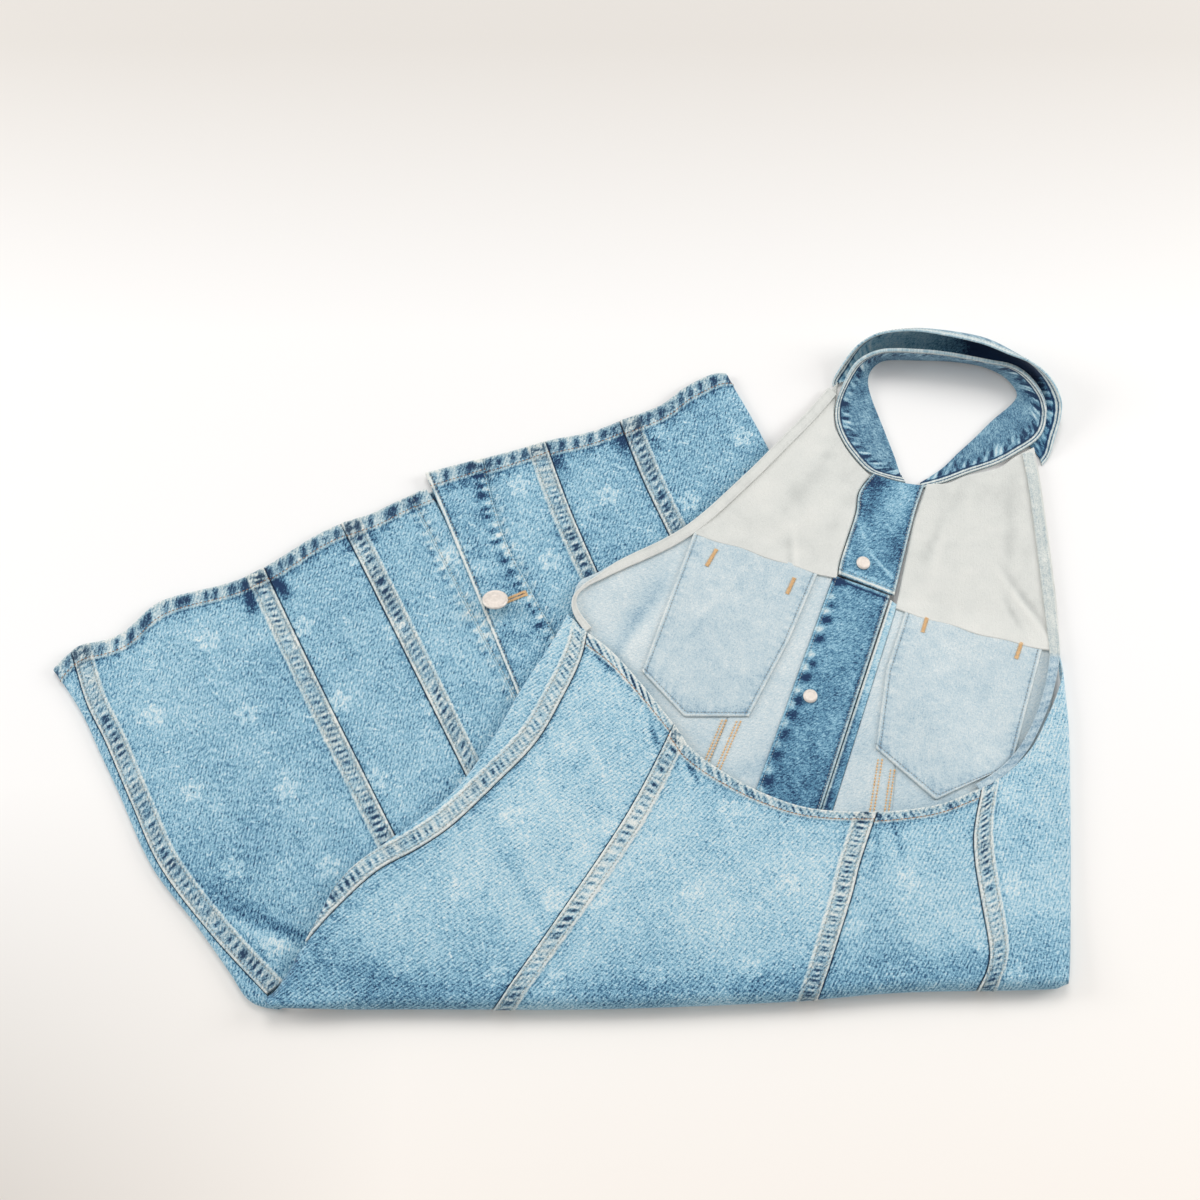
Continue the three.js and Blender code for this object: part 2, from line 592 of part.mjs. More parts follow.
// Linings and wrong sides, one row each: sides in plan, height over the sheet, wall.
const INSIDE_PANELS = [
  {
    name: 'yoke_lining_left',
    ...sides({
      left: ARMHOLE_LEFT.slice(0, 4),
      right: [[245, 179], [234.5, 164], [230.5, 144], [217.5, 106], [214.5, 93]],
      top: [[220, 251], [218, 228], [223, 210], [233, 193], [245, 179]],
    }),
    lift: 0.6, wall: 1.8, columns: 5, rows: 8, finish: 'cream',
  },
  {
    name: 'yoke_lining_right',
    ...sides({
      left: [[291.5, 168], [281.5, 150], [275.5, 131], [260, 70]],
      right: ARMHOLE_RIGHT,
      top: [[291.5, 168], [306, 172], [322, 178.5], [347, 185.5], [361, 195], [377, 204]],
    }),
    lift: 0.6, wall: 1.8, columns: 6, rows: 7, finish: 'cream',
  },
  {
    name: 'inner_side_front_left',
    ...sides({
      left: [[100, 131], [48, 106], [27, 94], [14, 87], [9, 72], [12, 61]],
      right: [[179, 104], [109, -68]],
      bottom: [[12, 61], [17, 41], [34, 21], [55, -4], [80, -38], [93, -55], [109, -68]],
    }),
    columns: 7, rows: 8, finish: 'wrong',
  },
  {
    name: 'inner_centre_front_left',
    ...sides({
      left: [[179.5, 103.8], [109.5, -68.2]],
      right: [[211, 92.5], [145.3, -82]],
      bottom: [[109.5, -68.2], [125, -76], [145.3, -82]],
    }),
    columns: 2, rows: 7, finish: 'wrong',
  },
  {
    name: 'placket_facing_upper',
    ...sides({
      left: [[247, 180], [235.5, 164], [231.5, 144], [218.5, 106], [215.5, 92.5]],
      right: [[287, 170], [280, 151], [274, 131], [258.5, 76]],
      top: [[247, 180], [259, 175.5], [272, 172], [287, 170]],
    }),
    lift: 1.7, wall: PLACKET_WALL, bands: { bottom: 5 }, columns: 3, rows: 7, finish: 'denim',
  },
  {
    name: 'placket_facing_lower',
    ...sides({
      left: [[212, 91.5], [147, -80]],
      right: [[255, 75.5], [192, -103]],
      bottom: [[147, -80], [165, -91], [192, -103]],
    }),
    lift: 1.7, wall: PLACKET_WALL, columns: 3, rows: 8, finish: 'dark',
  },
  {
    name: 'button_band_inner',
    ...sides({
      left: [[255.8, 72.5], [193, -103.5]],
      right: [[260.2, 68.6], [200, -105]],
    }),
    lift: 0.8, wall: 2.2, columns: 1, rows: 8, finish: 'wrong',
  },
  {
    name: 'inner_centre_front_right',
    ...sides({
      left: [[261, 68.6], [200.8, -105.3]],
      right: [[268, 67], [246, -106]],
    }),
    columns: 3, rows: 8, finish: 'wrong',
  },
  {
    name: 'inner_side_front_right',
    ...sides({
      left: [[268.5, 66.8], [246.5, -106.2]],
      right: [[382.5, 33.8], [380.5, 20], [377, -3], [369, -28], [356, -52], [340, -72], [322, -87]],
      bottom: [[246.5, -106.2], [285, -101], [322, -87]],
    }),
    columns: 7, rows: 9, finish: 'wrong',
  },
  {
    name: 'pocket_bag_left',
    left: runs([[104, 124], [62, 13]]),
    right: runs([[199, 91], [175, 37], [143, -23]]),
    bottom: runs([[62, 13], [94, -23], [143, -23]]),
    lift: BAG_LIFT, wall: 1.3, columns: 7, rows: 8, finish: 'wrong',
  },
  {
    name: 'pocket_bag_right',
    left: runs([[267, 64], [249, 15], [238, -48]]),
    right: runs([[371, 33], [342, -57], [336, -62]]),
    bottom: runs([[238, -48], [281, -88], [336, -62]]),
    lift: BAG_LIFT, wall: 1.3, columns: 7, rows: 8, finish: 'wrong',
  },
];
for (const { name, finish, ...panel } of INSIDE_PANELS) add(name, cloth(bodice, panel, panel), finish);

/** A sheet over the bodice inside that climbs by `rise` near one place. */
function climbing(x0, y0, near, far, rise) {
  const height = (x, y) => bodiceHeight(x, y) + FACING_LIFT
    + rise * (1 - smooth(Math.hypot(x - x0, y - y0), near, far));
  return { edges: [], height, rest: () => 0 };
}

const FACINGS = [
  {
    name: 'armhole_facing_left',
    path: [[211, 241], [187, 216], [146, 172], [98, 128], [46, 101], [26, 90], [16, 81], [13.5, 71], [14, 60]],
    sheet: climbing(14, 52, 14, 50, 1.5),
    rows: 20,
  },
  {
    name: 'armhole_facing_right',
    path: [
      [371, 198], [374, 173], [377, 122], [379, 72], [380, 38], [378, 22], [371, -1], [361, -20], [349, -44],
      [333, -60], [326, -66.5],
    ],
    sheet: climbing(360, -30, 50, 90, 1.2),
    rows: 22,
  },
];
for (const { name, path, sheet, rows } of FACINGS) {
  const centre = curve(path);
  const [left, right] = [FACING_WIDTH / 2, -FACING_WIDTH / 2].map((mm) => shifted(centre, mm));
  const panel = { left, right, rows, columns: 0 };
  add(name, cloth(sheet, panel, { wall: LINING }), 'cream');
}

// ---------------------------------------------------------------- collar

// Stations round the neck: fold-line edge, then the edge sewn to the neck.
const STAND = [
  { fold: [270, 179, 2.8], edge: [272, 175.5, 2.8] },
  { fold: [268, 185, 2.8], edge: [260, 178.5, 2.8] },
  { fold: [265, 197, 2.8], edge: [246, 184, 2.8] },
  { fold: [260, 213, 2.8], edge: [236, 195, 2.8] },
  { fold: [255, 229, 2.8], edge: [226, 211, 2.8] },
  { fold: [250, 244, 3.8], edge: [221, 228, 3.8] },
  { fold: [247, 257, 4.9], edge: [223, 246, 7.5] },
  { fold: [248, 267, 4.6], edge: [230, 262, 13] },
  { fold: [254, 276, 3.4], edge: [240, 272, 21] },
  { fold: [264, 281, 2.4], edge: [258, 277, 27] },
  { fold: [290, 281, 2.4], edge: [287, 275, 30] },
  { fold: [315, 280, 2.4], edge: [311, 272, 30] },
  { fold: [338, 276, 2.6], edge: [340, 267, 28] },
  { fold: [354, 268, 3.2], edge: [360, 264, 25] },
  { fold: [363, 258, 4.2], edge: [374, 256, 21] },
  { fold: [366, 249, 5], edge: [385, 241, 15.5] },
  { fold: [361, 241, 5.2], edge: [387, 226, 10.5] },
  { fold: [352, 233, 5], edge: [380, 212, 7] },
  { fold: [344, 226, 4.6], edge: [362, 200, 5] },
  { fold: [330, 212, 3.6], edge: [345, 191, 3.6] },
  { fold: [316, 199, 2.8], edge: [323, 183.5, 2.8] },
  { fold: [304, 187, 2.8], edge: [307, 177, 2.8] },
  { fold: [295, 179, 2.8], edge: [298, 173.5, 2.8] },
];
// Stations of the leaf: its fold line, its free edge, and how far it bellies out.
const LEAF = [
  { fold: [241, 256, 2], edge: [219, 258, 2], belly: 0 },
  { fold: [243, 261, 2.1], edge: [219, 263, 4.5], belly: 1 },
  { fold: [246, 271, 2.1], edge: [227, 274, 12], belly: 3 },
  { fold: [251, 280, 2.1], edge: [238, 284, 22], belly: 5 },
  { fold: [261, 286, 2.1], edge: [251, 288, 33], belly: 7 },
  { fold: [276, 287, 2.1], edge: [267, 288, 40], belly: 9 },
  { fold: [292, 287, 2.1], edge: [284, 286, 44], belly: 11 },
  { fold: [314, 286, 2.1], edge: [308, 281, 45], belly: 12 },
  { fold: [338, 282, 2.1], edge: [333, 275, 44], belly: 12 },
  { fold: [356, 274, 2.1], edge: [354, 268, 40], belly: 10 },
  { fold: [367, 264, 2.1], edge: [373, 263, 34], belly: 7 },
  { fold: [372, 253, 2.1], edge: [389, 253, 26], belly: 4 },
  { fold: [372, 241, 2.1], edge: [398, 239, 18], belly: 2 },
  { fold: [369, 230, 2], edge: [398, 225, 12], belly: 1 },
  { fold: [366, 219, 1.95], edge: [393, 209, 7], belly: 0 },
  { fold: [366, 212, 1.9], edge: [389, 197, 3], belly: 0 },
  { fold: [368, 203, 1.9], edge: [383, 189, 1.9], belly: 0 },
];

/** A band through stations, with its wall behind the face that looks at the neck. */
function band(rows, across, wall) {
  const fold = rows.map((row) => new THREE.Vector3(...row.fold));
  const edge = rows.map((row) => new THREE.Vector3(...row.edge));
  const grid = rows.map((row, r) => Array.from({ length: across + 1 }, (_, c) => {
    const p = fold[r].clone().lerp(edge[r], c / across);
    const before = fold[Math.max(0, r - 1)];
    const after = fold[Math.min(rows.length - 1, r + 1)];
    const out = point(-(after.y - before.y), after.x - before.x).normalize();
    const bulge = (row.belly ?? 0) * Math.sin(Math.PI * (c / across) ** 0.8);
    return p.add(new THREE.Vector3(out.x * bulge, out.y * bulge, 0));
  }));
  const at = (r, c) => grid[THREE.MathUtils.clamp(r, 0, rows.length - 1)][THREE.MathUtils.clamp(c, 0, across)];
  const behind = grid.map((row, r) => row.map((p, c) => {
    const along = at(r + 1, c).clone().sub(at(r - 1, c));
    const over = at(r, c + 1).clone().sub(at(r, c - 1));
    return p.clone().addScaledVector(along.cross(over).normalize(), -wall);
  }));
  return wallGeometry(grid, behind);
}

add('collar_stand', band(STAND, 3, STAND_WALL), 'denim');
add('collar_leaf', band(LEAF, 4, LEAF_WALL), 'denim');

// ---------------------------------------------------------------- buttons

/** Stands a turned piece on a sheet at a plan place, square to the cloth. */
function seated(geometry, sheet, x, y, lift) {
  const step = 3;
  const rise = (dx, dy) => sheet.height(x + dx, y + dy) - sheet.height(x - dx, y - dy);
  const normal = new THREE.Vector3(-rise(step, 0), -rise(0, step), 2 * step).normalize();
  const turn = new THREE.Quaternion().setFromUnitVectors(new THREE.Vector3(0, 0, 1), normal);
  const foot = new THREE.Vector3(x, y, sheet.height(x, y)).addScaledVector(normal, lift + SEAT);
  return geometry.applyMatrix4(new THREE.Matrix4().compose(foot, turn, new THREE.Vector3(1, 1, 1)));
}

/** A turned solid about Z from its profile of radius and height. */
function turned(profile, segments = 28) {
  const lathe = new THREE.LatheGeometry(profile.map(([r, z]) => point(r, z)), segments);
  lathe.deleteAttribute('normal');
  lathe.deleteAttribute('uv');
  return outward(mergeVertices(lathe.rotateX(Math.PI / 2), 1e-3));
}

const CAP = [[0, 0], [CAP_RADIUS, 0], [CAP_RADIUS, 0.7], [4.4, 1.5], [2.6, CAP_HEIGHT], [0, CAP_HEIGHT]];
add('cap_upper', seated(turned(CAP), bodice, 235, 102, 1.7), 'metal');
add('cap_lower', seated(turned(CAP), bodice, 190, -7, 1.7), 'metal');

/** The loose shank button: a domed head leaning back on an upright shank. */
function shankButton() {
  const tilt = THREE.MathUtils.degToRad(BUTTON_TILT);
  const head = turned([
    [0, 0], [8.6, 0], [BUTTON_RADIUS, 0.9], [BUTTON_RADIUS, 1.9], [8.8, 2.9], [6, 3.2], [0, 3.4],
  ]);
  head.rotateX(-tilt).translate(0, 0, BUTTON_RADIUS * Math.sin(tilt) + 1);
  const shank = turned([[0, 0], [SHANK_RADIUS, 0], [SHANK_RADIUS, SHANK_HEIGHT], [0, SHANK_HEIGHT]]);
  return geometryOf(solidOf(head).add(solidOf(shank)));
}

add('shank_button', seated(shankButton(), skirt, -51, 70, PLACKET_RISE), 'metal');

// ---------------------------------------------------------------- hidden layers

/** A solid between a top and a floor over a plan patch, with upright sides. */
function filling(panel, top, floor) {
  const grid = panelGrid(bodice, panel);
  const at = (height) => grid.map((row) => row.map((p) => new THREE.Vector3(p.x, p.y, height(p.x, p.y))));
  return solidOf(wallGeometry(at(top), at(floor)));
}

const table = () => 0;
const under = (base) => (x, y) => base(x, y) - CLOTH - CORE_GAP;

// The layers that nothing shows: they stop short of the edges that roll round them.
const FILLINGS = [
  {
    panel: sides({
      left: [
        [-376, 4], [-360, -20], [-343, -52], [-326, -84], [-294, -139], [-257, -182], [-232, -212],
        [-218, -226], [-196, -234],
      ],
      right: [[129, 257], [146, 228], [162, 197], [206, 103], [251, 1], [297, -102]],
      top: [
        [-376, 4], [-364, 22], [-330, 40], [-300, 64], [-232, 88], [-188, 116], [-121, 150], [-62, 178],
        [-8, 194], [45, 211], [94, 238], [129, 257],
      ],
      bottom: [[-196, -234], [-100, -200], [0, -160], [150, -140], [297, -102]],
    }),
    columns: 12, rows: 10, top: under(skirtBase), floor: table,
  },
  {
    panel: sides({
      left: [
        [2, 27], [-24, -4], [-49, -50], [-80, -92], [-123, -125], [-153, -156], [-174, -202], [-184, -222],
      ],
      right: [
        [24, 18], [8, -10], [-14, -44], [-46, -86], [-90, -136], [-128, -172], [-160, -208], [-172, -224],
      ],
    }),
    columns: 1, rows: 10, top: under(backBase), floor: (x, y) => skirtBase(x, y) + ON_SKIRT,
  },
  {
    panel: sides({
      left: [[16, 20], [0, -12], [-22, -46], [-54, -90], [-98, -141], [-136, -178], [-166, -208], [-178, -223]],
      right: [[376, -20], [375, -60], [369, -129], [362, -210]],
      top: [
        [16, 20], [30, 13], [50, -8], [74, -42], [92, -66], [116, -83], [150, -100], [183, -112], [222, -115],
        [250, -114], [285, -108], [322, -99], [344, -82], [359, -62], [369, -42], [376, -20],
      ],
      bottom: [[-178, -222], [-100, -223], [30, -229], [160, -225], [250, -218], [345, -216], [362, -210]],
    }),
    columns: 14, rows: 7, top: under(backBase), floor: table,
  },
  {
    panel: sides({
      left: [[182, 200], [187, 170], [200, 118], [240, 22], [285, -80], [300, -118]],
      right: [[371, 197], [376, 172], [379, 122], [380, 72], [379, 36], [375, 2], [374, -44]],
      top: [[182, 200], [212, 228], [219, 205], [231, 187], [243, 174], [291, 163], [345, 180], [371, 197]],
      bottom: [[300, -118], [350, -96], [374, -44]],
    }),
    columns: 6, rows: 8, top: under(bodiceBase), floor: table,
  },
];
const hidden = FILLINGS
  .map(({ panel, columns, rows, top, floor }) => filling({ ...panel, columns, rows }, top, floor))
  .reduce((whole, piece) => whole.add(piece));
add('hidden_layers', geometryOf(hidden), 'denim');

// The origin is the middle of the underside of everything.
const box = new THREE.Box3().setFromObject(dress);
const middle = box.getCenter(new THREE.Vector3());
dress.position.set(-middle.x, -middle.y, -box.min.z);

export default dress;
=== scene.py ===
"""Finished look of a denim halter dress, folded once across the skirt on a table.

The upper half lies face down, so its low back opening shows the inside of the
bodice front. The skirt turns under along one straight fold and comes out on the
left with its buttoned front up. Sizes are plan millimetres until a mesh is made.
"""

import logging
import math
from dataclasses import dataclass, field
from enum import Enum
from typing import Callable, Iterable, Sequence

import bpy
import numpy as np
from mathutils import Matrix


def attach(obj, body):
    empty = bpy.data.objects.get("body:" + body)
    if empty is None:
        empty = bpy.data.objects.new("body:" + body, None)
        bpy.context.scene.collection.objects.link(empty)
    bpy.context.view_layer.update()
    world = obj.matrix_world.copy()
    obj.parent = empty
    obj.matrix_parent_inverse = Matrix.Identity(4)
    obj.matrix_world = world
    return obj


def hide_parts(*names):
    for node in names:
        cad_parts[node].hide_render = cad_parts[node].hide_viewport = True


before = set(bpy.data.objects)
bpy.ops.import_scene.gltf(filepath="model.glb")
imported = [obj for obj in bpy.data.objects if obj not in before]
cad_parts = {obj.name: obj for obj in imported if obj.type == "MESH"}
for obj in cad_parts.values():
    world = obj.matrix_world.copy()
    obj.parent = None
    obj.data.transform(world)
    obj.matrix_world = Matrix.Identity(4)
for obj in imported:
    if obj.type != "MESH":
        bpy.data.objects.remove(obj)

LOG = logging.getLogger("halter_dress")
Array = np.ndarray
Rows = Sequence[Sequence[float]]
Screen = tuple[int, int, int]  # a colour as a screen shows it
Relief = tuple[Array, Array, Array]  # lift in mm, change of tone, bareness
PlaceRule = Callable[[Array, Array], Array]  # a number for each plan place
Socket = bpy.types.NodeSocket

MM = 0.001
ORIGIN = np.array([4.3903, 27.4947, 0.0])  # plan place of the part's origin

# Thickness of the cloth and the gaps left round it.
CLOTH = 1.3
LINING = 1.1
DOUBLE = 3.0
SEAM_GAP = 0.16
TABLE_GAP = 0.3
SEAT = 0.3  # between a button and the cloth it is sewn through

# Seams and hems: width, rise and the stitch rows in them.
TAPE = 15.0
TAPE_RISE = 0.9
TAPE_ROWS = (2.6, TAPE - 2.4)
HEM = 13.0
HEM_ROW = HEM - 1.8
NECK_HEM = 9.5
NECK_ROW = NECK_HEM - 1.5
FACING_ROW = 2.4
BAG_ROW = 3.2
STITCH_LIFT = 0.12

# Heights of the layers over the table.
SKIRT_STACK = 4.8
PLACKET_RISE = 1.5
FACING_RISE = 1.7
ON_SKIRT = 2.6
BODICE_ON_TABLE = 3.8
BODICE_ON_SKIRT = 4.7
SKIRT_LOFT = 2.4
BACK_OVER_FRONT = 3.5
FOLD_LOFT = 3.2
FOLD_Y = -242.0

# Rolled and cut edges.
ROLL_TURN = 2.7
ROLL_STEPS = 15
WIDEST_ROLL = 14.0
EDGE_ROUND = 0.8
THINNEST = 0.4

# Panels: spacing of rows against that of columns, and the most that side trims may take.
ROW_SHARE = 0.62
MOST_TRIM = 0.9


# --- small maths


def ramp(v: Array, low: float, high: float) -> Array:
    """Smooth step from 0 at low to 1 at high."""
    t = np.clip((v - low) / (high - low), 0, 1)
    return t * t * (3 - 2 * t)


def bump(d: Array, centre: float, width: float) -> Array:
    """A bell of height 1 about centre."""
    return np.exp(-(((d - centre) / width) ** 2))


def hashed(k: Array, seed: float) -> Array:
    """Repeatable numbers from 0 to 1, one for each whole number."""
    v = np.sin(k * 127.1 + seed * 311.7) * 43758.5453
    return v - np.floor(v)


def pulses(s: Array, pitch: float, width: float, seed: float) -> Array:
    """Uneven bells along a line.

    Args:
        s: Distance along the line.
        pitch: Mean distance between bells.
        width: Mean half width of a bell.
        seed: Picks the jitter.

    Returns:
        Values from 0 to 1.
    """
    first = np.floor(s / pitch)
    total = np.zeros_like(s)
    for step in (-1, 0, 1):
        k = first + step
        centre = (k + 0.5 + 0.55 * (hashed(k, seed) - 0.5)) * pitch
        size = width * (0.65 + 0.7 * hashed(k, seed + 1))
        total += (0.5 + 0.5 * hashed(k, seed + 2)) * np.exp(-(((s - centre) / size) ** 2))
    return np.minimum(total, 1)


def mottle(x: Array, y: Array, size: float, seed: float) -> Array:
    """Smooth random field.

    Args:
        x, y: Plan places.
        size: About how wide its lumps are.
        seed: Picks the field.

    Returns:
        Values from -1 to 1.
    """
    u, v = x / size, y / size
    i, j = np.floor(u), np.floor(v)
    f, g = u - i, v - j
    f, g = f * f * (3 - 2 * f), g * g * (3 - 2 * g)

    def corner(a: Array, b: Array) -> Array:
        """Lattice value."""
        return 2 * hashed(a * 1.37 + b * 91.73, seed) - 1

    low = corner(i, j) * (1 - f) + corner(i + 1, j) * f
    high = corner(i, j + 1) * (1 - f) + corner(i + 1, j + 1) * f
    return low * (1 - g) + high * g


def unit(v: Array) -> Array:
    """Vectors scaled to length 1."""
    return v / np.maximum(np.linalg.norm(v, axis=-1, keepdims=True), 1e-9)


def leftward(run: Array) -> Array:
    """Plan runs turned a quarter to the left."""
    return np.stack([-run[..., 1], run[..., 0]], -1)


def travelled(points: Array) -> Array:
    """Distance along a chain of points, at each of them."""
    return np.concatenate([[0], np.cumsum(np.linalg.norm(np.diff(points, axis=0), axis=-1))])


def none(x: Array, y: Array) -> Array:
    """Nothing, everywhere."""
    return np.zeros_like(x)


# --- plan lines


@dataclass(frozen=True)
class Line:
    """A plan line: its place at a share of its length, and that length."""

    at: Callable[[Array], Array]
    length: float


def measured(points: Array) -> Line:
    """A line through close points, measured by length."""
    starts = travelled(points)

    def at(t: Array) -> Array:
        """Places at shares t."""
        s = np.clip(np.asarray(t, float), 0, 1) * starts[-1]
        return np.stack([np.interp(s, starts, points[:, k]) for k in range(points.shape[1])], -1)

    return Line(at, float(starts[-1]))


def spline_points(rows: Rows, steps: int) -> Array:
    """A Catmull-Rom spline.

    Args:
        rows: Places it goes through.
        steps: Points to each span.

    Returns:
        Its points.
    """
    p = np.asarray(rows, float)
    n = len(p)
    t = np.linspace(0, n - 1, (n - 1) * steps + 1)
    i = np.minimum(t.astype(int), n - 2)
    w = (t - i)[:, None]
    p0, p1 = p[np.maximum(i - 1, 0)], p[i]
    p2, p3 = p[i + 1], p[np.minimum(i + 2, n - 1)]
    v0, v1 = (p2 - p0) / 2, (p3 - p1) / 2
    return (2 * p1 - 2 * p2 + v0 + v1) * w**3 + (-3 * p1 + 3 * p2 - 2 * v0 - v1) * w**2 + v0 * w + p1


def spline(rows: Rows) -> Line:
    """A smooth line through rows."""
    return measured(spline_points(rows, 24))


def runs(rows: Rows) -> Line:
    """A line of straight runs."""
    return measured(np.asarray(rows, float))


def ribbon(line: Line, offsets: Array) -> Line:
    """The line moved to its left-hand side.

    Args:
        line: The line to follow.
        offsets: Distances in mm, given evenly along it.

    Returns:
        The moved line.
    """
    places = np.linspace(0, 1, len(offsets))

    def at(t: Array) -> Array:
        """Places at shares t."""
        t = np.asarray(t, float)
        flat = t.ravel()
        run = unit(line.at(np.minimum(flat + 0.01, 1)) - line.at(np.maximum(flat - 0.01, 0)))
        mm = np.interp(flat, places, offsets)[:, None]
        return (line.at(flat) + mm * leftward(run)).reshape(*t.shape, 2)

    return Line(at, line.length)


def shifted(line: Line, mm: float) -> Line:
    """The line moved evenly to its left-hand side."""
    return ribbon(line, np.full(2, mm))


def first_share(line: Line, share: float) -> Line:
    """The first share of a line."""
    return Line(lambda t: line.at(np.asarray(t) * share), line.length * share)


def fitted(line: Line | None, a: Array, b: Array) -> Callable[[Array], Array]:
    """A line moved and sheared to run between two places.

    Args:
        line: The line, or None for a straight one.
        a: Where it has to start.
        b: Where it has to end.

    Returns:
        Places at shares of its length.
    """

    def at(t: Array) -> Array:
        """Places at shares t."""
        w = np.asarray(t, float)[..., None]
        if line is None:
            return a * (1 - w) + b * w
        return line.at(t) + (a - line.at(0.0)) * (1 - w) + (b - line.at(1.0)) * w

    return at


@dataclass
class Near:
    """Where plan places stand against an outline."""

    foot: Array
    inward: Array
    station: Array
    distance: Array


class Outline:
    """An edge that a sheet rolls round, with the sheet on its left-hand side."""

    def __init__(self, rows: Rows, steps: int = 260) -> None:
        """Samples the edge."""
        self.points = spline(rows).at(np.linspace(0, 1, steps + 1))
        self.run = np.diff(self.points, axis=0)
        self.size = np.linalg.norm(self.run, axis=1)
        self.starts = np.concatenate([[0], np.cumsum(self.size)])

    def nearest(self, x: Array, y: Array) -> Near:
        """Where places stand against the edge.

        Args:
            x, y: Plan places, one-dimensional.

        Returns:
            Nearest foot, inward normal, station and signed distance of each.
        """
        foot, inward = np.empty((len(x), 2)), np.empty((len(x), 2))
        station, distance = np.empty(len(x)), np.empty(len(x))
        a, run, size = self.points[:-1], self.run, self.size
        for lo in range(0, len(x), 4000):
            part = slice(lo, lo + 4000)
            dx, dy = x[part, None] - a[:, 0], y[part, None] - a[:, 1]
            along = np.clip((dx * run[:, 0] + dy * run[:, 1]) / size**2, 0, 1)
            gx, gy = dx - along * run[:, 0], dy - along * run[:, 1]
            i = np.argmin(gx**2 + gy**2, axis=1)
            pick = (np.arange(len(i)), i)
            gap = np.hypot(gx[pick], gy[pick])
            normal = leftward(run[i]) / size[i, None]
            away = np.stack([gx[pick], gy[pick]], -1)
            side = np.where(np.sum(away * normal, 1) >= 0, 1.0, -1.0)
            far = gap > 1e-6
            normal[far] = away[far] * (side[far] / gap[far])[:, None]
            foot[part] = a[i] + run[i] * along[pick][:, None]
            inward[part] = normal
            station[part] = self.starts[i] + along[pick] * size[i]
            distance[part] = side * gap
        return Near(foot, inward, station, distance)

    def on(self, station: Array) -> tuple[Array, Array]:
        """Foot and inward normal at stations."""
        i = np.clip(np.searchsorted(self.starts, station), 1, len(self.size)) - 1
        t = ((station - self.starts[i]) / self.size[i])[..., None]
        return self.points[i] + self.run[i] * t, leftward(self.run[i]) / self.size[i][..., None]

    def between(self, a: Array, b: Array) -> Line:
        """The stretch between the places nearest to a and b."""
        ends = self.nearest(np.array([a[0], b[0]]), np.array([a[1], b[1]])).station
        return Line(lambda t: self.on(ends[0] + (ends[1] - ends[0]) * np.asarray(t, float))[0],
                    abs(float(ends[1] - ends[0])))


# --- sheets


@dataclass(frozen=True)
class Fold:
    """A soft ridge (rise above 0) or trough along a line, fading at both ends."""

    x0: float
    y0: float
    x1: float
    y1: float
    width: float
    rise: float

    def over(self, x: Array, y: Array) -> Array:
        """Its height at plan places."""
        rx, ry = self.x1 - self.x0, self.y1 - self.y0
        size = math.hypot(rx, ry)
        along = ((x - self.x0) * rx + (y - self.y0) * ry) / size**2
        across = ((x - self.x0) * ry - (y - self.y0) * rx) / size
        fade = ramp(along, -0.15, 0.3) * (1 - ramp(along, 0.75, 1.15))
        return self.rise * fade * np.exp(-((across / self.width) ** 2))


def folds(rows: Iterable[Fold], x: Array, y: Array) -> Array:
    """Sum of folds at plan places."""
    return sum((row.over(x, y) for row in rows), np.zeros_like(x))


SKIRT_FOLDS = (
    Fold(-250, -158, -176, -186, 13, -0.6), Fold(-236, -188, -178, -206, 11, 1.1),
    Fold(-305, 80, -262, -30, 22, 1.8), Fold(-198, 132, -160, 50, 14, 1.5),
    Fold(-140, 160, -108, 90, 10, 1.1), Fold(15, 226, 45, 150, 14, 1.5),
    Fold(96, 262, 118, 190, 14, 1.6),
)
BACK_FOLDS = (
    Fold(240, -95, 262, -200, 20, 1.2), Fold(60, -20, -40, -150, 24, 1.3),
    Fold(120, -90, 90, -200, 26, 1.0), Fold(345, -60, 348, -200, 14, 0.8),
)
BODICE_FOLDS = (
    Fold(92, 118, 36, 40, 10, -0.9), Fold(108, 100, 52, 22, 8, 0.7),
    Fold(205, 190, 150, 130, 12, 0.8), Fold(352, 190, 346, 80, 12, 0.8),
)
SKIRT_RIGHT = Outline([[343, -232], [303, -105], [255, 2], [210, 104], [166, 200], [151, 232], [133, 267]])
SKIRT_LEFT = Outline([
    [-390, 17], [-366, -17], [-349, -49], [-332, -81], [-303, -137], [-267, -181],
    [-240, -216], [-227, -234], [-213, -241], [-190, -243],
])
UPPER_EDGE = Outline([
    [10, 78], [7, 66], [1, 52], [-11, 30], [-30, -1], [-55, -47], [-84, -86], [-127, -119], [-161, -149],
    [-187, -200], [-203, -228], [-213, -239], [-196, -243], [-100, FOLD_Y - 1], [30, FOLD_Y - 1],
    [160, -238], [250, -231], [345, -229], [366, -226], [372, -214], [380, -129], [386, -40], [386, 0],
    [385, 38],
])


def over_skirt(x: Array, y: Array) -> Array:
    """1 where the skirt lies underneath, 0 on the bare table."""
    return ramp(SKIRT_RIGHT.nearest(x, y).distance, -60, -3)


def ripple(x: Array, y: Array) -> Array:
    """Small unevenness that all layers share."""
    return 0.3 * mottle(x, y, 47, 3) + 0.16 * mottle(x, y, 19, 8)


def skirt_base(x: Array, y: Array) -> Array:
    """Top of the skirt without its folds."""
    return SKIRT_STACK + SKIRT_LOFT * (np.maximum(0, -60 - y) / 180) ** 2 + ripple(x, y)


def bodice_base(x: Array, y: Array) -> Array:
    """Inside of the bodice front without its folds."""
    w = over_skirt(x, y)
    table = BODICE_ON_TABLE + ripple(x, y)
    return table * (1 - w) + (skirt_base(x, y) + BODICE_ON_SKIRT) * w


def skirt_height(x: Array, y: Array) -> Array:
    """Top of the skirt front."""
    return skirt_base(x, y) + folds(SKIRT_FOLDS, x, y)


